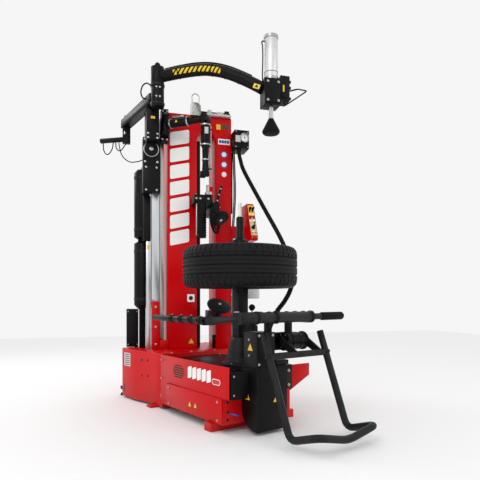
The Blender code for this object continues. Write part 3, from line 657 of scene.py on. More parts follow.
def buildColumnFittings():    # foot, duct, switch box and hoses
    foot = addBlock((-0.4175, 0.96, 0.3815), (-0.359, 0.989, 0.74), columnPlace, 0.002)
    lugs = addBlock((-0.358, 0.955, 0.3815), (-0.298, 0.964, 0.45), columnPlace, 0.002)
    finishPiece(joinPieces([foot, lugs]), "railFoot", "red_paint")
    boltSet("railFootBolts", [((-0.388, 0.96, z), (0, -1, 0), 0.0065) for z in (0.42, 0.55, 0.7)],
            columnPlace)
    finishPiece(addBlock((-0.456, 1.0, 0.3815), (-0.423, 1.045, 1.195), columnPlace, 0.003), "cableDuct",
                "aluminium")
    finishPiece(addLabel(0.022, 0.032, 0.002, 0.0004, columnPlace @ facing((-0.44, 1.0, 1.15), (0, -1, 0))),
                "ductYellowTag", "yellow")
    finishPiece(addBlock((-0.478, 1.0, 1.196), (-0.423, 1.065, 1.54), columnPlace, 0.003), "ductCover",
                "black_paint")
    finishPiece(addRound((-0.505, 1.1, 0.681), (0, 0, 1), 0.006, 0.9, columnPlace, 20, 0.001), "tankTieRod",
                "black_paint")
    straps = []
    for z in (0.76, 1.13, 1.3, 1.7):
        strap = spinProfile([(0.0612, -0.01), (0.0632, -0.01), (0.0632, 0.01), (0.0612, 0.01),
                             (0.0612, -0.01)], 48)
        bakePlace(strap, columnPlace @ Matrix.Translation((-0.476, 1.15, z)))
        straps.append(strap)
    finishPiece(joinPieces(straps), "tankStraps", "grey_paint")
    finishPiece(addRound((-0.476, 1.15, 1.763), (0, 0, 1), 0.01, 0.022, columnPlace, 6, 0.001), "tankValve",
                "brass")
    tray = addBlock((-0.005, 0.94, 2.172), (0.19, 0.972, 2.188), columnPlace, 0.002)
    lug = addBlock((0.005, 0.942, 2.187), (0.035, 0.97, 2.215), columnPlace, 0.003)
    peak = addBlock((0.08, 0.942, 2.187), (0.125, 0.97, 2.206), columnPlace, 0.003)
    finishPiece(joinPieces([tray, lug, peak]), "capTray", "paleGrey")
    boltSet("capBolts", [((x, 1.02, 2.2102), (0, 0, 1), 0.007) for x in (-0.025, 0.06, 0.125)], columnPlace)
    finishPiece(addBlock((0.053, 0.987, 0.3815), (0.07, 1.025, 0.478), columnPlace, 0.001),
                "lowerWindowRail", "black_paint")
    finishPiece(addBlock((0.198, 0.975, 1.43), (0.21, 1.005, 1.91), columnPlace, 0.002), "sideCableStrip",
                "black_paint")
    for number, shift in enumerate((0.0, 0.011)):
        run = [(0.214 + shift, 0.98, 1.911), (0.215 + shift, 0.97, 1.8), (0.219 + shift, 0.965, 1.6),
               (0.216 + shift, 0.972, 1.45), (0.212 + shift, 0.985, 1.35), (0.209 + shift, 1.0, 1.25),
               (0.207 + shift, 1.005, 0.9), (0.207 + shift, 1.005, 0.3815)]
        finishPiece(addCable(run, 0.0048, columnPlace), "sideHose%d" % number, "rubber")
    arm = addBlock((0.1975, 0.98, 0.785), (0.33, 0.996, 0.805), columnPlace, 0.002)
    cup = spinProfile([(0.0, 0.0), (0.052, 0.0), (0.058, 0.006), (0.058, 0.08), (0.0555, 0.08),
                       (0.0555, 0.008),
                       (0.05, 0.003), (0.0, 0.003)], 48)
    bakePlace(cup, columnPlace @ Matrix.Translation((0.356, 0.93, 0.762)))
    finishPiece(joinPieces([arm, cup]), "pasteHolder", "paleGrey")
    finishPiece(addRound((0.356, 0.93, 0.7655), (0, 0, 1), 0.054, 0.09, columnPlace, 32, 0.006), "pasteTub",
                "brown")
    seams = []
    for x in backBolts["x"]:
        for z in (0.46, 0.98, 1.5, 2.02):
            seams.append(((x, 1.2395, z), (0, 1, 0), 0.0065))
    boltSet("columnBackBolts", seams, columnPlace)


backBolts = {"x": (-0.27, -0.1, 0.1, 0.17)}

baseLook = {
    "sideX": -0.1387,
    "louvreCentre": (0.4775, 0.294),
    "louvreHalf": (0.07, 0.044),
    "slots": 6,
    "badgeBars": (0.336, 0.282, 0.228, 0.174, 0.12),
}


def buildBaseDetails():
    side = (-1, 0, 0)
    x = baseLook["sideX"]
    finishPiece(addBlock((-0.1475, -0.026, 0.052), (-0.1395, 0.63, 0.198), basePlace, 0.002), "lowerCover",
                "red_paint")
    boltSet("lowerCoverBolts",
            [((-0.1475, y, z), side, 0.006) for y in (0.5925, 0.0173) for z in (0.175, 0.07)], basePlace)
    boltSet("panelBolts", [((x, 0.711, z), side, 0.0055) for z in (0.344, 0.221, 0.102)], basePlace)

    cy, cz = baseLook["louvreCentre"]
    wide, high = baseLook["louvreHalf"]
    # the louvre openings are painted shade: each slot is a thin dark slip laid on the panel where the opening
    # shows the shaded inside
    slots = []
    for number in range(baseLook["slots"]):
        level = -high + (number + 0.5) * 2 * high / baseLook["slots"]
        half = wide * math.sqrt(max(0.2, 1 - (level / (high * 1.15)) ** 2))
        slots.append(addLabel(2 * half, 0.0088, 0.004, 0.0005, basePlace @ facing((x, cy, cz + level), side)))
    finishPiece(joinPieces(slots), "louvreSlotShade", "dark")
    bars = [addLabel(0.046, 0.07, 0.008, 0.0005, basePlace @ facing((x, y, 0.3), side), lean=0.012)
            for y in baseLook["badgeBars"]]
    finishPiece(joinPieces(bars), "panelWhiteBars", "white")
    finishPiece(addLabel(0.084, 0.034, 0.0165, 0.0006, basePlace @ facing((x, 0.042, 0.284), side)),
                "panelOvalRim", "white")
    finishPiece(addLabel(0.075, 0.026, 0.0125, 0.0009, basePlace @ facing((x, 0.042, 0.284), side)),
                "panelOvalCore", "signRed")
    signTriangles("baseTriangles", [((-0.1477, 0.321, 0.108), side, 0.026),
                                    ((-0.1477, 0.256, 0.11), side, 0.026)],
                  basePlace)

    # the knockout holes are painted shade: thin dark discs on the cabinet wall where the holes show the shaded
    # inside
    holeShadeDiscs = []
    for y, z, radius in ((1.009, 0.314, 0.01), (0.94, 0.317, 0.01), (1.007, 0.201, 0.01),
                         (0.94, 0.206, 0.01)):
        outward = Vector((-0.9807, -0.1954, 0.0))
        wall = -0.116 - (y - 0.861) / 0.216 * 0.043
        holeShadeDiscs.append(addRound((wall - 0.0002, y, z), outward, radius, 0.0004, basePlace, 28))
    finishPiece(joinPieces(holeShadeDiscs), "cabinetKnockoutShade", "dark")
    outward = (-1.0, -0.0505, 0)
    finishPiece(addLabel(0.1, 0.1, 0.004, 0.0004, basePlace @ facing((-0.1667, 1.215, 0.3), outward)),
                "cabinetPlate", "paleGrey")
    rows = [addLabel(0.08, 0.005, 0.0, 0.0002, basePlace @ facing((-0.1672, 1.215, 0.262 + 0.015 * n),
                                                                  outward))
            for n in range(6)]
    finishPiece(joinPieces(rows), "cabinetPlateRows", "dark")
    # the slot opening is painted shade: a thin dark slip on the cabinet wall where the slot shows the shaded
    # inside
    finishPiece(addLabel(0.014, 0.062, 0.0065, 0.0004, basePlace @ facing((-0.1685, 1.265, 0.08), outward)),
                "cabinetSlotShade", "dark")
    strip = [((px, 0.748, cabinetTop["level"]), (0, 0, 1), 0.0065) for px in (-0.04, 0.12, 0.22, 0.32)]
    strip += [((px, 1.29, cabinetTop["level"]), (0, 0, 1), 0.0065) for px in (-0.08, 0.15, 0.35, 0.58)]
    boltSet("cabinetTopBolts", strip, basePlace)
    # the end holes are painted shade: thin dark discs on the base end where the holes show the shaded inside
    ends = [addRound((px, -0.0342, z), (0, -1, 0), 0.0095, 0.0004, basePlace, 28)
            for px, z in ((-0.112, 0.178), (-0.112, 0.122), (-0.112, 0.078))]
    finishPiece(joinPieces(ends), "baseEndHoleShade", "dark")
    far = addBlock((0.362, -0.03, 0.19), (0.53, -0.02, 0.35), Matrix(), 0)
    pickOnly(far)
    bpy.ops.object.mode_set(mode="EDIT")
    bpy.ops.mesh.select_all(action="DESELECT")
    bpy.ops.object.mode_set(mode="OBJECT")
    for corner in far.data.vertices:
        corner.select = corner.co.x > 0.45 and corner.co.z < 0.25
    bpy.ops.object.mode_set(mode="EDIT")
    bpy.ops.transform.translate(value=(0, 0, 0.085))
    bpy.ops.object.mode_set(mode="OBJECT")
    soften(far, 0.002)
    bakePlace(far, basePlace)
    gusset = addBlock((0.362, -0.0195, 0.19), (0.37, 0.16, 0.348), basePlace, 0.002)
    finishPiece(joinPieces([far, gusset]), "farBracket", "red_paint")
    finishPiece(addBlock((0.132, -0.168, 0.3805), (0.228, -0.05, 0.408), basePlace, 0.004), "towerTray",
                "grey_paint")
    line = addCable([(-0.098, -0.0345, 0.11), (-0.09, -0.06, 0.112), (-0.065, -0.07, 0.104),
                     (-0.045, -0.05, 0.098), (-0.04, -0.0345, 0.095)], 0.004, basePlace)
    finishPiece(line, "blueAirLine", "airLine")
    deck = [((px, py, 0.3525), (0, 0, 1), 0.007) for px in (-0.105, 0.325) for py in (0.01, 0.35, 0.69)]
    deck += [((0.1113 + 0.102 * math.cos(a), 0.15 + 0.102 * math.sin(a), 0.368), (0, 0, 1), 0.0055)
             for a in (0.4, 1.45, 2.5, 3.55, 4.6, 5.65)]
    boltSet("deckBolts", deck, basePlace)
    for number, px in enumerate((-0.12, 0.56)):
        finishPiece(addRound((px, 1.378, 0.025), (0, 0, 1), 0.015, 0.008, basePlace, 6, 0.001),
                    "footLockNut%d" % number, "bright_steel")
    tabs = [((-0.158, 0.085, 0.0495), (0, 0, 1), 0.005), ((0.44, 0.085, 0.0495), (0, 0, 1), 0.007),
            ((0.41, 0.085, 0.0495), (0, 0, 1), 0.007)]
    boltSet("footBolts", tabs[1:], basePlace)
    finishPiece(addBlock((-0.5895, 1.213, 0.39), (-0.5005, 1.2148, 0.67), columnPlace, 0.0008),
                "electricLid", "plastic")
    boltSet("electricLidBolts", [((px, 1.213, z), (0, -1, 0),
                                  0.0035) for px in (-0.58, -0.51) for z in (0.4, 0.66)],
            columnPlace)


cabinetTop = {"level": 0.38}

liftLook = {
    "axis": (-0.15, 0.513),
    "barY": -0.29,
    "barZ": 0.66,
}


def buildLiftDetails():
    front = (0, -1, 0)
    left = (-1, 0, 0)
    signTriangles("towerTriangles", [((0.118, -0.1802, 0.188), front, 0.026),
                                     ((-0.0152, -0.09, 0.205), left, 0.034),
                                     ((-0.0102, -0.11, 0.483), left, 0.034)], basePlace)
    spots = [((px, -0.17, z), front, 0.006) for px in (0.005, 0.105) for z in (0.395, 0.555)]
    spots += [((0.225, -0.172, z), front, 0.007) for z in (0.262, 0.345)]
    spots += [((-0.112, -0.096, z), front, 0.005) for z in (0.33, 0.225)]
    spots += [((-0.0102, -0.1, z), left, 0.0055) for z in (0.53, 0.44)]
    boltSet("towerBolts", spots, basePlace)
    seam = addBlock((0.01, -0.1812, 0.3), (0.185, -0.18, 0.302), basePlace, 0.0004)
    plate = addBlock((0.0, -0.1815, 0.312), (0.19, -0.18, 0.37), basePlace, 0.001)
    finishPiece(joinPieces([seam, plate]), "towerFacePlate", "black_paint")
    y, z = liftLook["axis"]
    rings = []
    for px in (0.216, 0.248, 0.308, 0.34):
        ring = spinProfile([(0.0472, -0.003), (0.0495, -0.003), (0.0495, 0.003), (0.0472, 0.003),
                            (0.0472, -0.003)], 64)
        bakePlace(ring, basePlace @ Matrix.Translation((px, y, z)) @ Matrix.Rotation(math.pi / 2, 4, "Y"))
        rings.append(ring)
    finishPiece(joinPieces(rings), "drumBands", "grey_paint")
    studs = []
    for angle in range(0, 360, 60):
        a = math.radians(angle)
        for px, way in ((0.356, 1), (0.2, -1)):
            studs.append(((px, y + 0.042 * math.cos(a), z + 0.042 * math.sin(a)), (way, 0, 0), 0.0045))
    boltSet("drumBolts", studs, basePlace)
    finishPiece(addRound((0.3912, y, z), (1, 0, 0), 0.013, 0.008, basePlace, 6, 0.001), "drumShaftNut",
                "bright_steel")
    collars = []
    for px in (-0.11, 0.02, 0.282):
        ring = spinProfile([(0.0318, -0.007), (0.0345, -0.006), (0.0345, 0.006), (0.0318, 0.007),
                            (0.0318, -0.007)], 48)
        bakePlace(ring, basePlace @ Matrix.Translation((px, liftLook["barY"],
                                                        liftLook["barZ"])) @ Matrix.Rotation(math.pi / 2, 4, "Y"))
        collars.append(ring)
    finishPiece(joinPieces(collars), "crossbarCollars", "black_paint")
    dots = [((-0.49, ring, 0.6805), (0, 0, 1), 0.0032) for ring in (-0.352, -0.2715, -0.177, -0.083)]
    boltSet("sideRollerStuds", dots, basePlace, "side_roller_body")
    ends = [addRound((-0.49, 0.1172, 0.66), (0, 1, 0), 0.013, 0.004, basePlace, 24, 0.001)]
    finishPiece(joinPieces(ends), "sideRollerCap", "bright_steel", "side_roller_body")
    finishPiece(addRound((-0.2525, -0.312, 0.6903), (0, 0, 1), 0.014, 0.006, basePlace, 6, 0.001),
                "sideArmPivotNut", "bright_steel", "side_swing_arm")
    sleeves = []
    for px in (-0.01, 0.42):
        sleeve = spinProfile([(0.0202, -0.016), (0.0228, -0.014), (0.0228, 0.014), (0.0202, 0.016),
                              (0.0202, -0.016)], 40)
        lean = Matrix.Rotation(math.atan2(0.21, 0.534), 4, "X")
        bakePlace(sleeve, basePlace @ Matrix.Translation((px, -0.278, 0.45)) @ lean)
        sleeves.append(sleeve)
    finishPiece(joinPieces(sleeves), "cradleSleeves", "grey_paint", "wheel_cradle")
    finishPiece(addRound((0.322, 0.3, 0.5805), (0, 0, 1), 0.0345, 0.004, basePlace, 32, 0.001),
                "leverCollar", "grey_paint")


panelLook = {
    "low": (0.72, 1.21),
    "high": (0.84, 1.486),
    "left": 0.287,
    "right": 0.34,
}


def panelSpot(x, share, lift=0.0):
    y0, z0 = panelLook["low"]
    y1, z1 = panelLook["high"]
    run = math.hypot(y1 - y0, z1 - z0)
    up = ((y1 - y0) / run, (z1 - z0) / run)
    return (x, y0 + up[0] * run * share - up[1] * lift, z0 + up[1] * run * share + up[0] * lift)


def buildConsole():
    y0, z0 = panelLook["low"]
    y1, z1 = panelLook["high"]
    run = math.hypot(y1 - y0, z1 - z0)
    up = Vector((0, (y1 - y0) / run, (z1 - z0) / run))
    normal = Vector((0, -up.z, up.y))
    middle = (panelLook["left"] + panelLook["right"]) / 2
    finishPiece(addLabel(0.046, run * 0.52, 0.003, 0.0005,
                         columnPlace @ facing(panelSpot(middle, 0.34), normal, up)), "consoleFilm", "beige")
    finishPiece(addLabel(0.046, run * 0.3, 0.003, 0.0005,
                         columnPlace @ facing(panelSpot(middle, 0.8), normal, up)), "consoleTopFilm",
                         "yellow")
    slots = [addLabel(0.011, 0.04, 0.004, 0.0004, columnPlace @ facing(panelSpot(x, 0.82, 0.0005), normal, up))
             for x in (0.302, 0.325)]
    finishPiece(joinPieces(slots), "consoleSlots", "dark")
    finishPiece(addRound(panelSpot(0.312, 0.3, 0.0005), normal, 0.015, 0.0035, columnPlace, 32, 0.0008),
                "consoleKnobBezel", "grey_paint")
    keys = [addRound(panelSpot(x, share, 0.0005), normal, radius, 0.005, columnPlace, 24, 0.0012)
            for x, share, radius in ((0.3, 0.58, 0.0085), (0.326, 0.58, 0.0075), (0.326, 0.44, 0.0065),
                                     (0.299, 0.14, 0.005), (0.326, 0.15, 0.005))]
    finishPiece(joinPieces(keys[:3]), "consoleButtons", "dark")
    finishPiece(joinPieces(keys[3:]), "consoleLamps", "signRed")
    fields = [addLabel(0.018, 0.01, 0.001, 0.0002, columnPlace @ facing(panelSpot(x, share, 0.0005), normal, up))
              for x, share in ((0.3, 0.5), (0.326, 0.51), (0.312, 0.2), (0.3, 0.69), (0.326, 0.69))]
    finishPiece(joinPieces(fields), "consoleFields", "white")
    rows = [(x, -0.001, z) for x in (0.294, 0.333) for z in (0.02, 0.98)]
    boltSet("consoleScrews", [(panelSpot(x, share, 0.0), normal, 0.0028) for x, y, share in rows],
            columnPlace)
    finishPiece(addBlock((0.3402, 0.86, 1.22), (0.3418, 0.985, 1.47), columnPlace, 0.0006),
                "consoleSideLid", "red_paint")
    boltSet("consoleLidScrews", [((0.3418, y, z), (1, 0, 0),
                                  0.0035) for y in (0.872, 0.973) for z in (1.232, 1.458)],
            columnPlace)


gaugeLook = {
    "dial": (0.277, 0.862, 1.996),
    "radius": 0.031,
}


def buildGauge():
    x, z = gaugeLook["dial"][0], gaugeLook["dial"][2]
    front = (0, -1, 0)
    finishPiece(addRound((x, 0.8678, z), front, 0.03, 0.0006, columnPlace, 40), "gaugeFace", "white")
    ticks = []
    for number in range(11):
        angle = math.radians(225 - number * 27)
        tick = addLabel(0.0018, 0.006, 0.0, 0.0003, Matrix())
        turn = Matrix.Rotation(angle - math.pi / 2, 4, "Z") @ Matrix.Translation((0, 0.024, 0))
        bakePlace(tick, columnPlace @ facing((x, 0.8672, z), front) @ turn)
        ticks.append(tick)
    finishPiece(joinPieces(ticks), "gaugeTicks", "dark")
    finishPiece(addRound((x, 0.8635, z), front, 0.004, 0.001, columnPlace, 24, 0.0003), "gaugeHub", "dark")
    ring = spinProfile([(0.0312, 0.0), (0.0365, 0.0), (0.0365, 0.003), (0.034, 0.0055), (0.0312, 0.0045),
                        (0.0312, 0.0)], 48)
    bakePlace(ring, columnPlace @ facing((x, 0.8618, z), front))
    finishPiece(ring, "gaugeBezel", "bright_steel")
    boltSet("gaugeBoxScrews",
            [((px, 0.862, pz), front, 0.0035) for px in (0.208, 0.302) for pz in (1.924, 2.04)],
            columnPlace)
    finishPiece(addLabel(0.04, 0.05, 0.003, 0.0005, columnPlace @ facing((0.224, 0.8618, 1.985), front)),
                "gaugeBoxLabel", "paleGrey")
    finishPiece(addRound((0.238, 0.89, 1.9118), (0, 0, -1), 0.02, 0.014, columnPlace, 6, 0.001),
                "conduitGland", "plastic")


conduitLook = {
    "ring": 0.0168,
    "pitch": 0.0085,
}


def buildConduitRings():    # corrugated sleeve
    route = [(0.455, 0.35, 0.96), (0.456, 0.352, 0.841), (0.42, 0.372, 0.75), (0.36, 0.372, 0.672),
             (0.3, 0.352, 0.56), (0.256, 0.35, 0.44), (0.2525, 0.35, 0.395)]
    fine = smoothRun(route, conduitLook["pitch"])
    radii = [1.0 if n % 2 else 0.9 for n in range(len(fine))]
    finishPiece(addCable(fine, conduitLook["ring"], columnPlace, 5, radii), "corrugatedSleeve", "rubber",
                smoothAngle=60)


def smoothRun(points, pitch):    # a point every pitch metres along a Catmull-Rom line
    knots = [Vector(p) for p in points]
    knots = [2 * knots[0] - knots[1]] + knots + [2 * knots[-1] - knots[-2]]
    dense = []
    for a, b, c, d in zip(knots, knots[1:], knots[2:], knots[3:]):
        for step in range(40):
            t = step / 40
            dense.append(0.5 * ((2 * b) + (c - a) * t + (2 * a - 5 * b + 4 * c - d) * t ** 2
                                + (3 * b - a - 3 * c + d) * t ** 3))
    dense.append(knots[-2])
    spaced = [dense[0]]
    for point in dense:
        if (point - spaced[-1]).length >= pitch:
            spaced.append(point)
    return spaced


pressLook = {
    "head": (0.296, 0.305),
    "post": (-0.402, 0.708),
}


def buildPressDetails():
    x, y = pressLook["head"]
    front = (0, -1, 0)
    arm = "press_swing_arm"
    rings = []
    for z, radius, high in ((2.191, 0.049, 0.02), (2.465, 0.0485, 0.022), (2.24, 0.0463, 0.004)):
        ring = spinProfile([(0.0452, 0.0), (radius, 0.0015), (radius, high - 0.0015), (0.0452, high),
                            (0.0452, 0.0)], 56)
        bakePlace(ring, columnPlace @ Matrix.Translation((x, y, z)))
        rings.append(ring)
    finishPiece(joinPieces(rings[:2]), "cylinderHeads", "bright_steel", arm)
    finishPiece(rings[2], "cylinderClip", "black_paint", arm)
    finishPiece(addRound((x - 0.046, y - 0.004, 2.445), (-1, 0, 0), 0.007, 0.012, columnPlace, 6, 0.0008),
                "cylinderPort", "brass", arm)
    finishPiece(addBlock((x - 0.052, y - 0.0575, 2.03), (x + 0.044, y - 0.0505, 2.18), columnPlace, 0.0015),
                "headFrontPlate", "black_paint", arm)
    boltSet("headBolts", [((x + dx, y - 0.0575, z), front,
                           0.0062) for dx in (-0.04, 0.032) for z in (2.045, 2.165)],
            columnPlace, arm)
    across = Vector((-0.5, -0.866, 0))
    fall = Vector((0.32, -0.185, 0.93))
    spot = Vector((x - 0.076, y + 0.044, 2.15)) + across * 0.041
    finishPiece(addLabel(0.046, 0.03, 0.003, 0.001, columnPlace @ facing(spot, across, fall)),
                "armYellowTag", "yellow", arm)
    mark = addTriangle(0.015, 0.0003, columnPlace @ facing(spot + across * 0.0012, across, fall))
    finishPiece(mark, "armTagMark", "dark", arm)
    tag = addLabel(0.01, 0.046, 0.002, 0.0005, columnPlace @ facing((x + 0.07, y - 0.0502, 2.13), front))
    finishPiece(tag, "valveGreenTag", "yellow", arm)
    finishPiece(addBlock((x + 0.056, y - 0.062, 2.07), (x + 0.092, y - 0.0505, 2.105), columnPlace, 0.002),
                "valveBlock", "black_paint", arm)
    knobs = []
    for dz in (2.08, 2.15, 2.19):
        knobs.append(addRound((x + 0.1122, y - 0.02, dz), (1, 0, 0), 0.01, 0.018, columnPlace, 20, 0.002))
    finishPiece(joinPieces(knobs), "valveKnobs", "plastic", arm)
    fittings = [addRound((x + dx, y - 0.01, 2.2152), (0, 0, 1), 0.007, 0.018, columnPlace, 6, 0.0008)
                for dx in (0.066, 0.088)]
    finishPiece(joinPieces(fittings), "valveFittings", "brass", arm)
    grip = spinProfile([(0.0048, -0.04), (0.0085, -0.036), (0.0095, 0.0), (0.0085, 0.036), (0.0048, 0.04),
                        (0.0048, -0.04)], 24)
    a, b = Vector((x + 0.126, y - 0.016, 2.1335)), Vector((x + 0.17, y - 0.045, 2.14))
    turn = (b - a).to_track_quat("Z", "Y").to_matrix().to_4x4()
    bakePlace(grip, columnPlace @ Matrix.Translation((a + b) / 2) @ turn @ Matrix.Scale(0.55, 4))
    finishPiece(grip, "handleGrip", "rubber", arm)

    hose = [(x - 0.054, y + 0.01, 2.17), (x - 0.0565, y + 0.008, 2.23), (x - 0.056, y + 0.004, 2.3),
            (x - 0.056, y + 0.002, 2.37), (x - 0.06, y - 0.002, 2.42), (x - 0.064, y - 0.004, 2.44),
            (x - 0.058, y - 0.004, 2.445)]
    finishPiece(addCable(hose, 0.004, columnPlace), "cylinderHose", "rubber", arm)
    ties = []
    post = Vector((pressLook["post"][0], pressLook["post"][1], 0))
    run = Vector((x, y, 0)) - post
    heights = ((0.07, 2.356), (0.2, 2.366), (0.38, 2.369), (0.5, 2.356), (0.62, 2.327), (0.74, 2.282),
               (0.84, 2.238))
    line = [tuple(post + run * share + Vector((0, 0, z + 0.004))) for share, z in heights]
    finishPiece(addCable(line, 0.0048, columnPlace), "armHose", "rubber", arm)
    for share, z in heights[1:6]:
        ring = spinProfile([(0.0402, -0.003), (0.0416, -0.003), (0.0416, 0.003), (0.0402, 0.003),
                            (0.0402, -0.003)], 48)
        heading = math.atan2(run.y, run.x)
        drop = {0.2: 0.02, 0.38: 0.0, 0.5: -0.17, 0.62: -0.3, 0.74: -0.4}[share]
        spot = post + run * share + Vector((0, 0, z - 0.044))
        lean = Matrix.Rotation(heading, 4, "Z") @ Matrix.Rotation(math.pi / 2 - drop, 4, "Y")
        bakePlace(ring, columnPlace @ Matrix.Translation(spot) @ lean)
        ties.append(ring)
    finishPiece(joinPieces(ties), "armHoseTies", "plastic", arm)

    carriage = "press_lift_carriage"
    hubRing = spinProfile([(0.0462, 0.0), (0.05, 0.002), (0.05, 0.016), (0.0462, 0.018), (0.0462, 0.0)], 56)
    low = hubRing.copy()
    low.data = hubRing.data.copy()
    bpy.context.collection.objects.link(low)
    bakePlace(hubRing, columnPlace @ Matrix.Translation((post.x, post.y, 2.24)))
    bakePlace(low, columnPlace @ Matrix.Translation((post.x, post.y, 2.11)))
    finishPiece(joinPieces([hubRing, low]), "postBands", "grey_paint", carriage)
    finishPiece(addRound((post.x, post.y, 2.4082), (0, 0, 1), 0.009, 0.006, columnPlace, 6, 0.0008),
                "postTopNut", "bright_steel", carriage)
    boltSet("postBolts", [((post.x + 0.034 * math.cos(a), post.y - 0.044, z), front, 0.005)
                          for a, z in ((1.2, 2.16), (1.9, 2.16), (1.2, 2.225), (1.9, 2.225))], columnPlace,
                          carriage)
    finishPiece(addBlock((-0.48, 0.899, 1.548), (-0.372, 0.9045, 1.744), columnPlace, 0.0015),
                "carriageLid", "black_paint", carriage)
    finishPiece(addBlock((-0.364, 0.93, 1.55), (-0.358, 0.98, 1.945), columnPlace, 0.001),
                "carriageSideStrip", "plastic", carriage)
    boltSet("carriageBolts", [((px, 0.899, z), front, 0.0055) for px in (-0.465, -0.388) for z in (1.562, 1.728)]
            + [((px, 0.905, z), front, 0.006) for px in (-0.472, -0.382) for z in (1.77, 1.935)],
            columnPlace, carriage)
    crescent = spinProfile([(0.0505, 0.0), (0.056, 0.0), (0.0575, 0.004), (0.056, 0.01), (0.0505, 0.01),
                            (0.0505, 0.0)], 56)
    bakePlace(crescent, columnPlace @ facing((-0.428, 0.9045, 1.86), front))
    finishPiece(crescent, "bearingRing", "bright_steel", carriage)
    finishPiece(addRound((-0.428, 0.8868, 1.86), front, 0.016, 0.008, columnPlace, 6, 0.001), "bearingStud",
                "bright_steel", carriage)
    boltSet("neckBolts", [((px, 0.8, z), front, 0.0055) for px in (-0.458, -0.392) for z in (1.915, 1.945)],
            columnPlace, carriage)
    finishPiece(addLabel(0.03, 0.018, 0.002, 0.0005, columnPlace @ facing((-0.425, 0.7998, 2.06), front)),
                "beamYellowTag", "yellow", carriage)
    finishPiece(addRound((-0.6, 1.255, 2.08), (-0.9, -0.45, 0), 0.013, 0.01, columnPlace, 24, 0.001),
                "rearHub", "bright_steel", carriage)
    finishPiece(addRound((-0.59, 1.28, 2.1965), (0, 0, 1), 0.018, 0.03, columnPlace, 20, 0.004), "beamKnob",
                "plastic", carriage)
    finishPiece(addRound((-0.78, 1.3958, 2.0448), (-0.857, 0.515, 0.02), 0.0205, 0.006, columnPlace, 24,
                         0.001), "hoseArmCap", "plastic", carriage)
    loops = (((-0.77, 1.392, 2.024), (-0.762, 1.386, 1.96), (-0.735, 1.36, 1.93), (-0.705, 1.34, 1.96),
              (-0.69, 1.338, 2.022)),
             ((-0.672, 1.332, 2.02), (-0.665, 1.32, 1.97), (-0.64, 1.3, 1.95), (-0.606, 1.284, 1.985),
              (-0.592, 1.276, 2.004)))
    for number, points in enumerate(loops):
        finishPiece(addCable(points, 0.0042, columnPlace), "rearCable%d" % number, "rubber", carriage)


def buildToolDetails():
    front = (0, -1, 0)
    leg = "tool_hook_leg"
    x, y = -0.069, 0.667
    finishPiece(addLabel(0.026, 0.046, 0.002, 0.0004, columnPlace @ facing((x, y - 0.0352, 1.945), front)),
                "legPaleLabel", "paleGrey", leg)
    bands = []
    for z, radius in ((1.99, 0.0372), (1.85, 0.0366), (1.745, 0.0272)):
        inner = radius - 0.0018
        ring = spinProfile([(inner, -0.005), (radius, -0.004), (radius, 0.004), (inner, 0.005),
                            (inner, -0.005)], 40)
        bakePlace(ring, columnPlace @ Matrix.Translation((x, y, z)))
        bands.append(ring)
    finishPiece(joinPieces(bands), "legBands", "bright_steel", leg)
    finishPiece(addRound((x + 0.04, y + 0.012, 1.66), (0, 0, 1), 0.0055, 0.33, columnPlace, 20, 0.001),
                "legSideRod", "bright_steel", leg)
    carry = [addBlock((x + 0.02, y + 0.006, z), (x + 0.048, y + 0.018, z + 0.01), columnPlace, 0.0015)
             for z in (1.68, 1.96)]
    finishPiece(joinPieces(carry), "legRodClips", "black_paint", leg)
    finishPiece(addBlock((x - 0.046, y - 0.034, 1.618), (x - 0.002, y + 0.014, 1.6275), columnPlace, 0.003),
                "hookShoe", "plastic", leg)
    carriage = "tool_lift_carriage"
    boltSet("toolCarriageBolts", [((px, 0.905, z), front,
                                   0.0055) for px in (-0.345, -0.312) for z in (1.945, 2.155)],
            columnPlace, carriage)
    finishPiece(addRound((-0.328, 0.872, 2.1162), (0, 0, 1), 0.018, 0.008, columnPlace, 6, 0.001),
                "toolPivotNut", "bright_steel", carriage)
    swing = "tool_swing_arm"
    pivot = Vector((-0.328, 0.872, 2.04))
    along = Vector((-0.069 + 0.328, 0.667 - 0.872, 0)).normalized()
    side = Vector((-along.y, along.x, 0))
    lamp = addBlock((-0.012, 0.06, 0.036), (0.012, 0.15, 0.05), Matrix(), 0.003)
    turn = Matrix((side, along, Vector((0, 0, 1)))).transposed().to_4x4()
    bakePlace(lamp, columnPlace @ Matrix.Translation(pivot) @ turn)
    finishPiece(lamp, "toolArmBlock", "bright_steel", swing)
    signTriangles("toolArmTriangle", [(tuple(pivot + along * 0.11 - side * 0.0324), tuple(-side), 0.016)],
                  columnPlace, swing)
    clamps = []
    for place in (0.05, 0.192):
        ring = spinProfile([(0.0322, -0.006), (0.035, -0.005), (0.035, 0.005), (0.0322, 0.006),
                            (0.0322, -0.006)], 40)
        aim = along.to_track_quat("Z", "Y").to_matrix().to_4x4()
        bakePlace(ring, columnPlace @ Matrix.Translation(pivot + along * place) @ aim)
        clamps.append(ring)
    finishPiece(joinPieces(clamps), "toolArmBands", "bright_steel", swing)
    slide = "tool_reach_slide"
    spot = pivot + along * 0.25
    boltSet("toolBracketBolts", [((spot.x + dx, spot.y - 0.022, 2.04 + dz), front, 0.0055)
                                 for dx, dz in ((-0.022, 0.045), (0.022, 0.045), (0.0, 0.088))],
                                 columnPlace, slide)


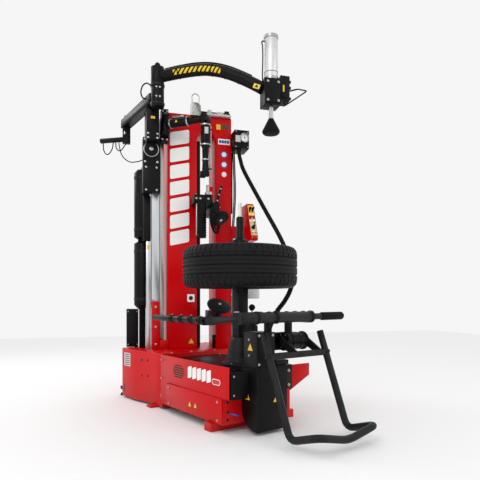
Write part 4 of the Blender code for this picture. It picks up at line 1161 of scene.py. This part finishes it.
def buildDiscDetails():
    front = (0, -1, 0)
    slider = "upper_disc_slider"
    boltSet("upperPlateBolts", [((px, 0.815, 1.528), (0, 0, 1), 0.006) for px in (-0.11, -0.03)]
            + [((px, 0.8, 1.499), front, 0.0055) for px in (-0.11, -0.08, -0.02)], columnPlace, slider)
    ribs = []
    for number in range(12):
        ring = spinProfile([(0.0312, -0.004), (0.0345, -0.002), (0.0345, 0.002), (0.0312, 0.004),
                            (0.0312, -0.004)], 32)
        bakePlace(ring, columnPlace @ Matrix.Translation((-0.062, 0.832, 1.232 + number * 0.019)))
        ribs.append(ring)
    finishPiece(joinPieces(ribs), "upperCylinderRibs", "black_paint", slider)
    finishPiece(addRound((-0.105, 0.82, 1.23), (0, 0, 1), 0.0045, 0.24, columnPlace, 20, 0.0008),
                "upperThinRod", "bright_steel", slider)
    bracket = addBlock((-0.04, 0.79, 1.5285), (0.005, 0.84, 1.55), columnPlace, 0.002)
    post = addBlock((-0.035, 0.795, 1.55), (-0.015, 0.815, 1.6), columnPlace, 0.002)
    finishPiece(joinPieces([bracket, post]), "upperSilverBracket", "bright_steel", slider)
    finishPiece(addBlock((0.006, 0.93, 1.529), (0.044, 0.939, 1.62), columnPlace, 0.002), "upperRedPlate",
                "red_paint", slider)
    ram = "upper_disc_ram"
    lean = addBlock((-0.01, -0.012, 0.0), (0.01, 0.012, 0.15), Matrix(), 0.003)
    bakePlace(lean, columnPlace @ Matrix.Translation((0.05, 0.86,
                                                      1.4695)) @ Matrix.Rotation(math.radians(16), 4, "Y"))
    finishPiece(lean, "upperRamBracket", "black_paint", ram)
    dots = [((0.05 + 0.28 * t, 0.8478, 1.4695 + t), front, 0.0045) for t in (0.03, 0.075, 0.12)]
    boltSet("upperRamBolts", dots, columnPlace, ram)
    tips = [addRound((0.061, 0.8 + 0.03 * n, 1.44), (1, 0, 0), 0.008, 0.008, columnPlace, 6,
                     0.0008) for n in range(3)]
    finishPiece(joinPieces(tips), "upperRamFittings", "brass", ram)
    cluster = (((0.006, 0.785, 1.44), (0.0, 0.768, 1.4), (0.004, 0.76, 1.34), (0.02, 0.768, 1.285),
                (0.05, 0.8, 1.27),
                (0.068, 0.84, 1.3), (0.069, 0.88, 1.36), (0.068, 0.89, 1.415)),
               ((0.0055, 0.8, 1.42), (-0.006, 0.79, 1.37), (0.0, 0.79, 1.31), (0.024, 0.805, 1.262),
                (0.056, 0.84, 1.255),
                (0.074, 0.88, 1.29), (0.075, 0.92, 1.36), (0.069, 0.93, 1.415)))
    for number, points in enumerate(cluster):
        fine = smoothRun(points, 0.0065)
        radii = [1.0 if n % 2 else 0.86 for n in range(len(fine))]
        finishPiece(addCable(fine, 0.0085, columnPlace, 4, radii), "upperCorrugatedHose%d" % number,
                    "rubber", ram, 60)
    for name, hub, tilt, radius, body in (("upper", (0.05, 0.76, 1.362), (0.25, -0.62, -0.75), 0.052,
                                           "upper_bead_disc"),
                                         ("lower", (0.036, 0.712, 0.694), (0.1, -0.6, 0.79), 0.06,
                                          "lower_bead_disc")):
        way = Vector(tilt).normalized()
        face = Vector(hub) + way * (0.0342 if name == "upper" else 0.0342)
        finishPiece(addRound(tuple(face), tuple(way), 0.013, 0.006, columnPlace, 6, 0.001),
                    name + "DiscNut", "bright_steel", body)
        ring = spinProfile([(radius * 0.42, 0.0), (radius * 0.6, 0.0), (radius * 0.58, 0.0022),
                            (radius * 0.44, 0.0022),
                            (radius * 0.42, 0.0)], 48)
        turn = way.to_track_quat("Z", "Y").to_matrix().to_4x4()
        bakePlace(ring, columnPlace @ Matrix.Translation(Vector(hub) + way * 0.0335) @ turn)
        finishPiece(ring, name + "DiscRing", "grey_paint", body)
    low = "lower_disc_slider"
    boltSet("lowerCarriageBolts", [((px, 0.88, 0.59), front, 0.0055) for px in (-0.03, 0.03)], columnPlace,
            low)
    boltSet("lowerRamBolts", [((0.033, py, 0.672), (0, 0, 1), 0.0055) for py in (0.8, 0.9)], columnPlace,
            "lower_disc_ram")
    finishPiece(addRound((0.05 + 0.0, 0.18, 1.2662), (0, 0, 1), 0.015, 0.006, columnPlace, 24, 0.001),
                "clampTopRing",
                "bright_steel", "wheel_clamp")


buildWheel()
print("wheel ready")
buildColumnGraphics()
buildColumnFittings()
print("column ready")
buildBaseDetails()
buildLiftDetails()
print("base and wheel lift ready")
buildConsole()
buildGauge()
buildConduitRings()
print("controls ready")
buildPressDetails()
buildToolDetails()
buildDiscDetails()
print("press, tool and discs ready")
floorSize = 14.0
clearSelection()
bpy.ops.mesh.primitive_plane_add(size=floorSize, location=(0, 0, -0.0005))
floor = bpy.context.object
floor.name = "studioFloor"
floorPaint, floorTree, floorShader = surface("matFloorPaper", "#f4f4f4", 0.9)
floor.data.materials.append(floorPaint)
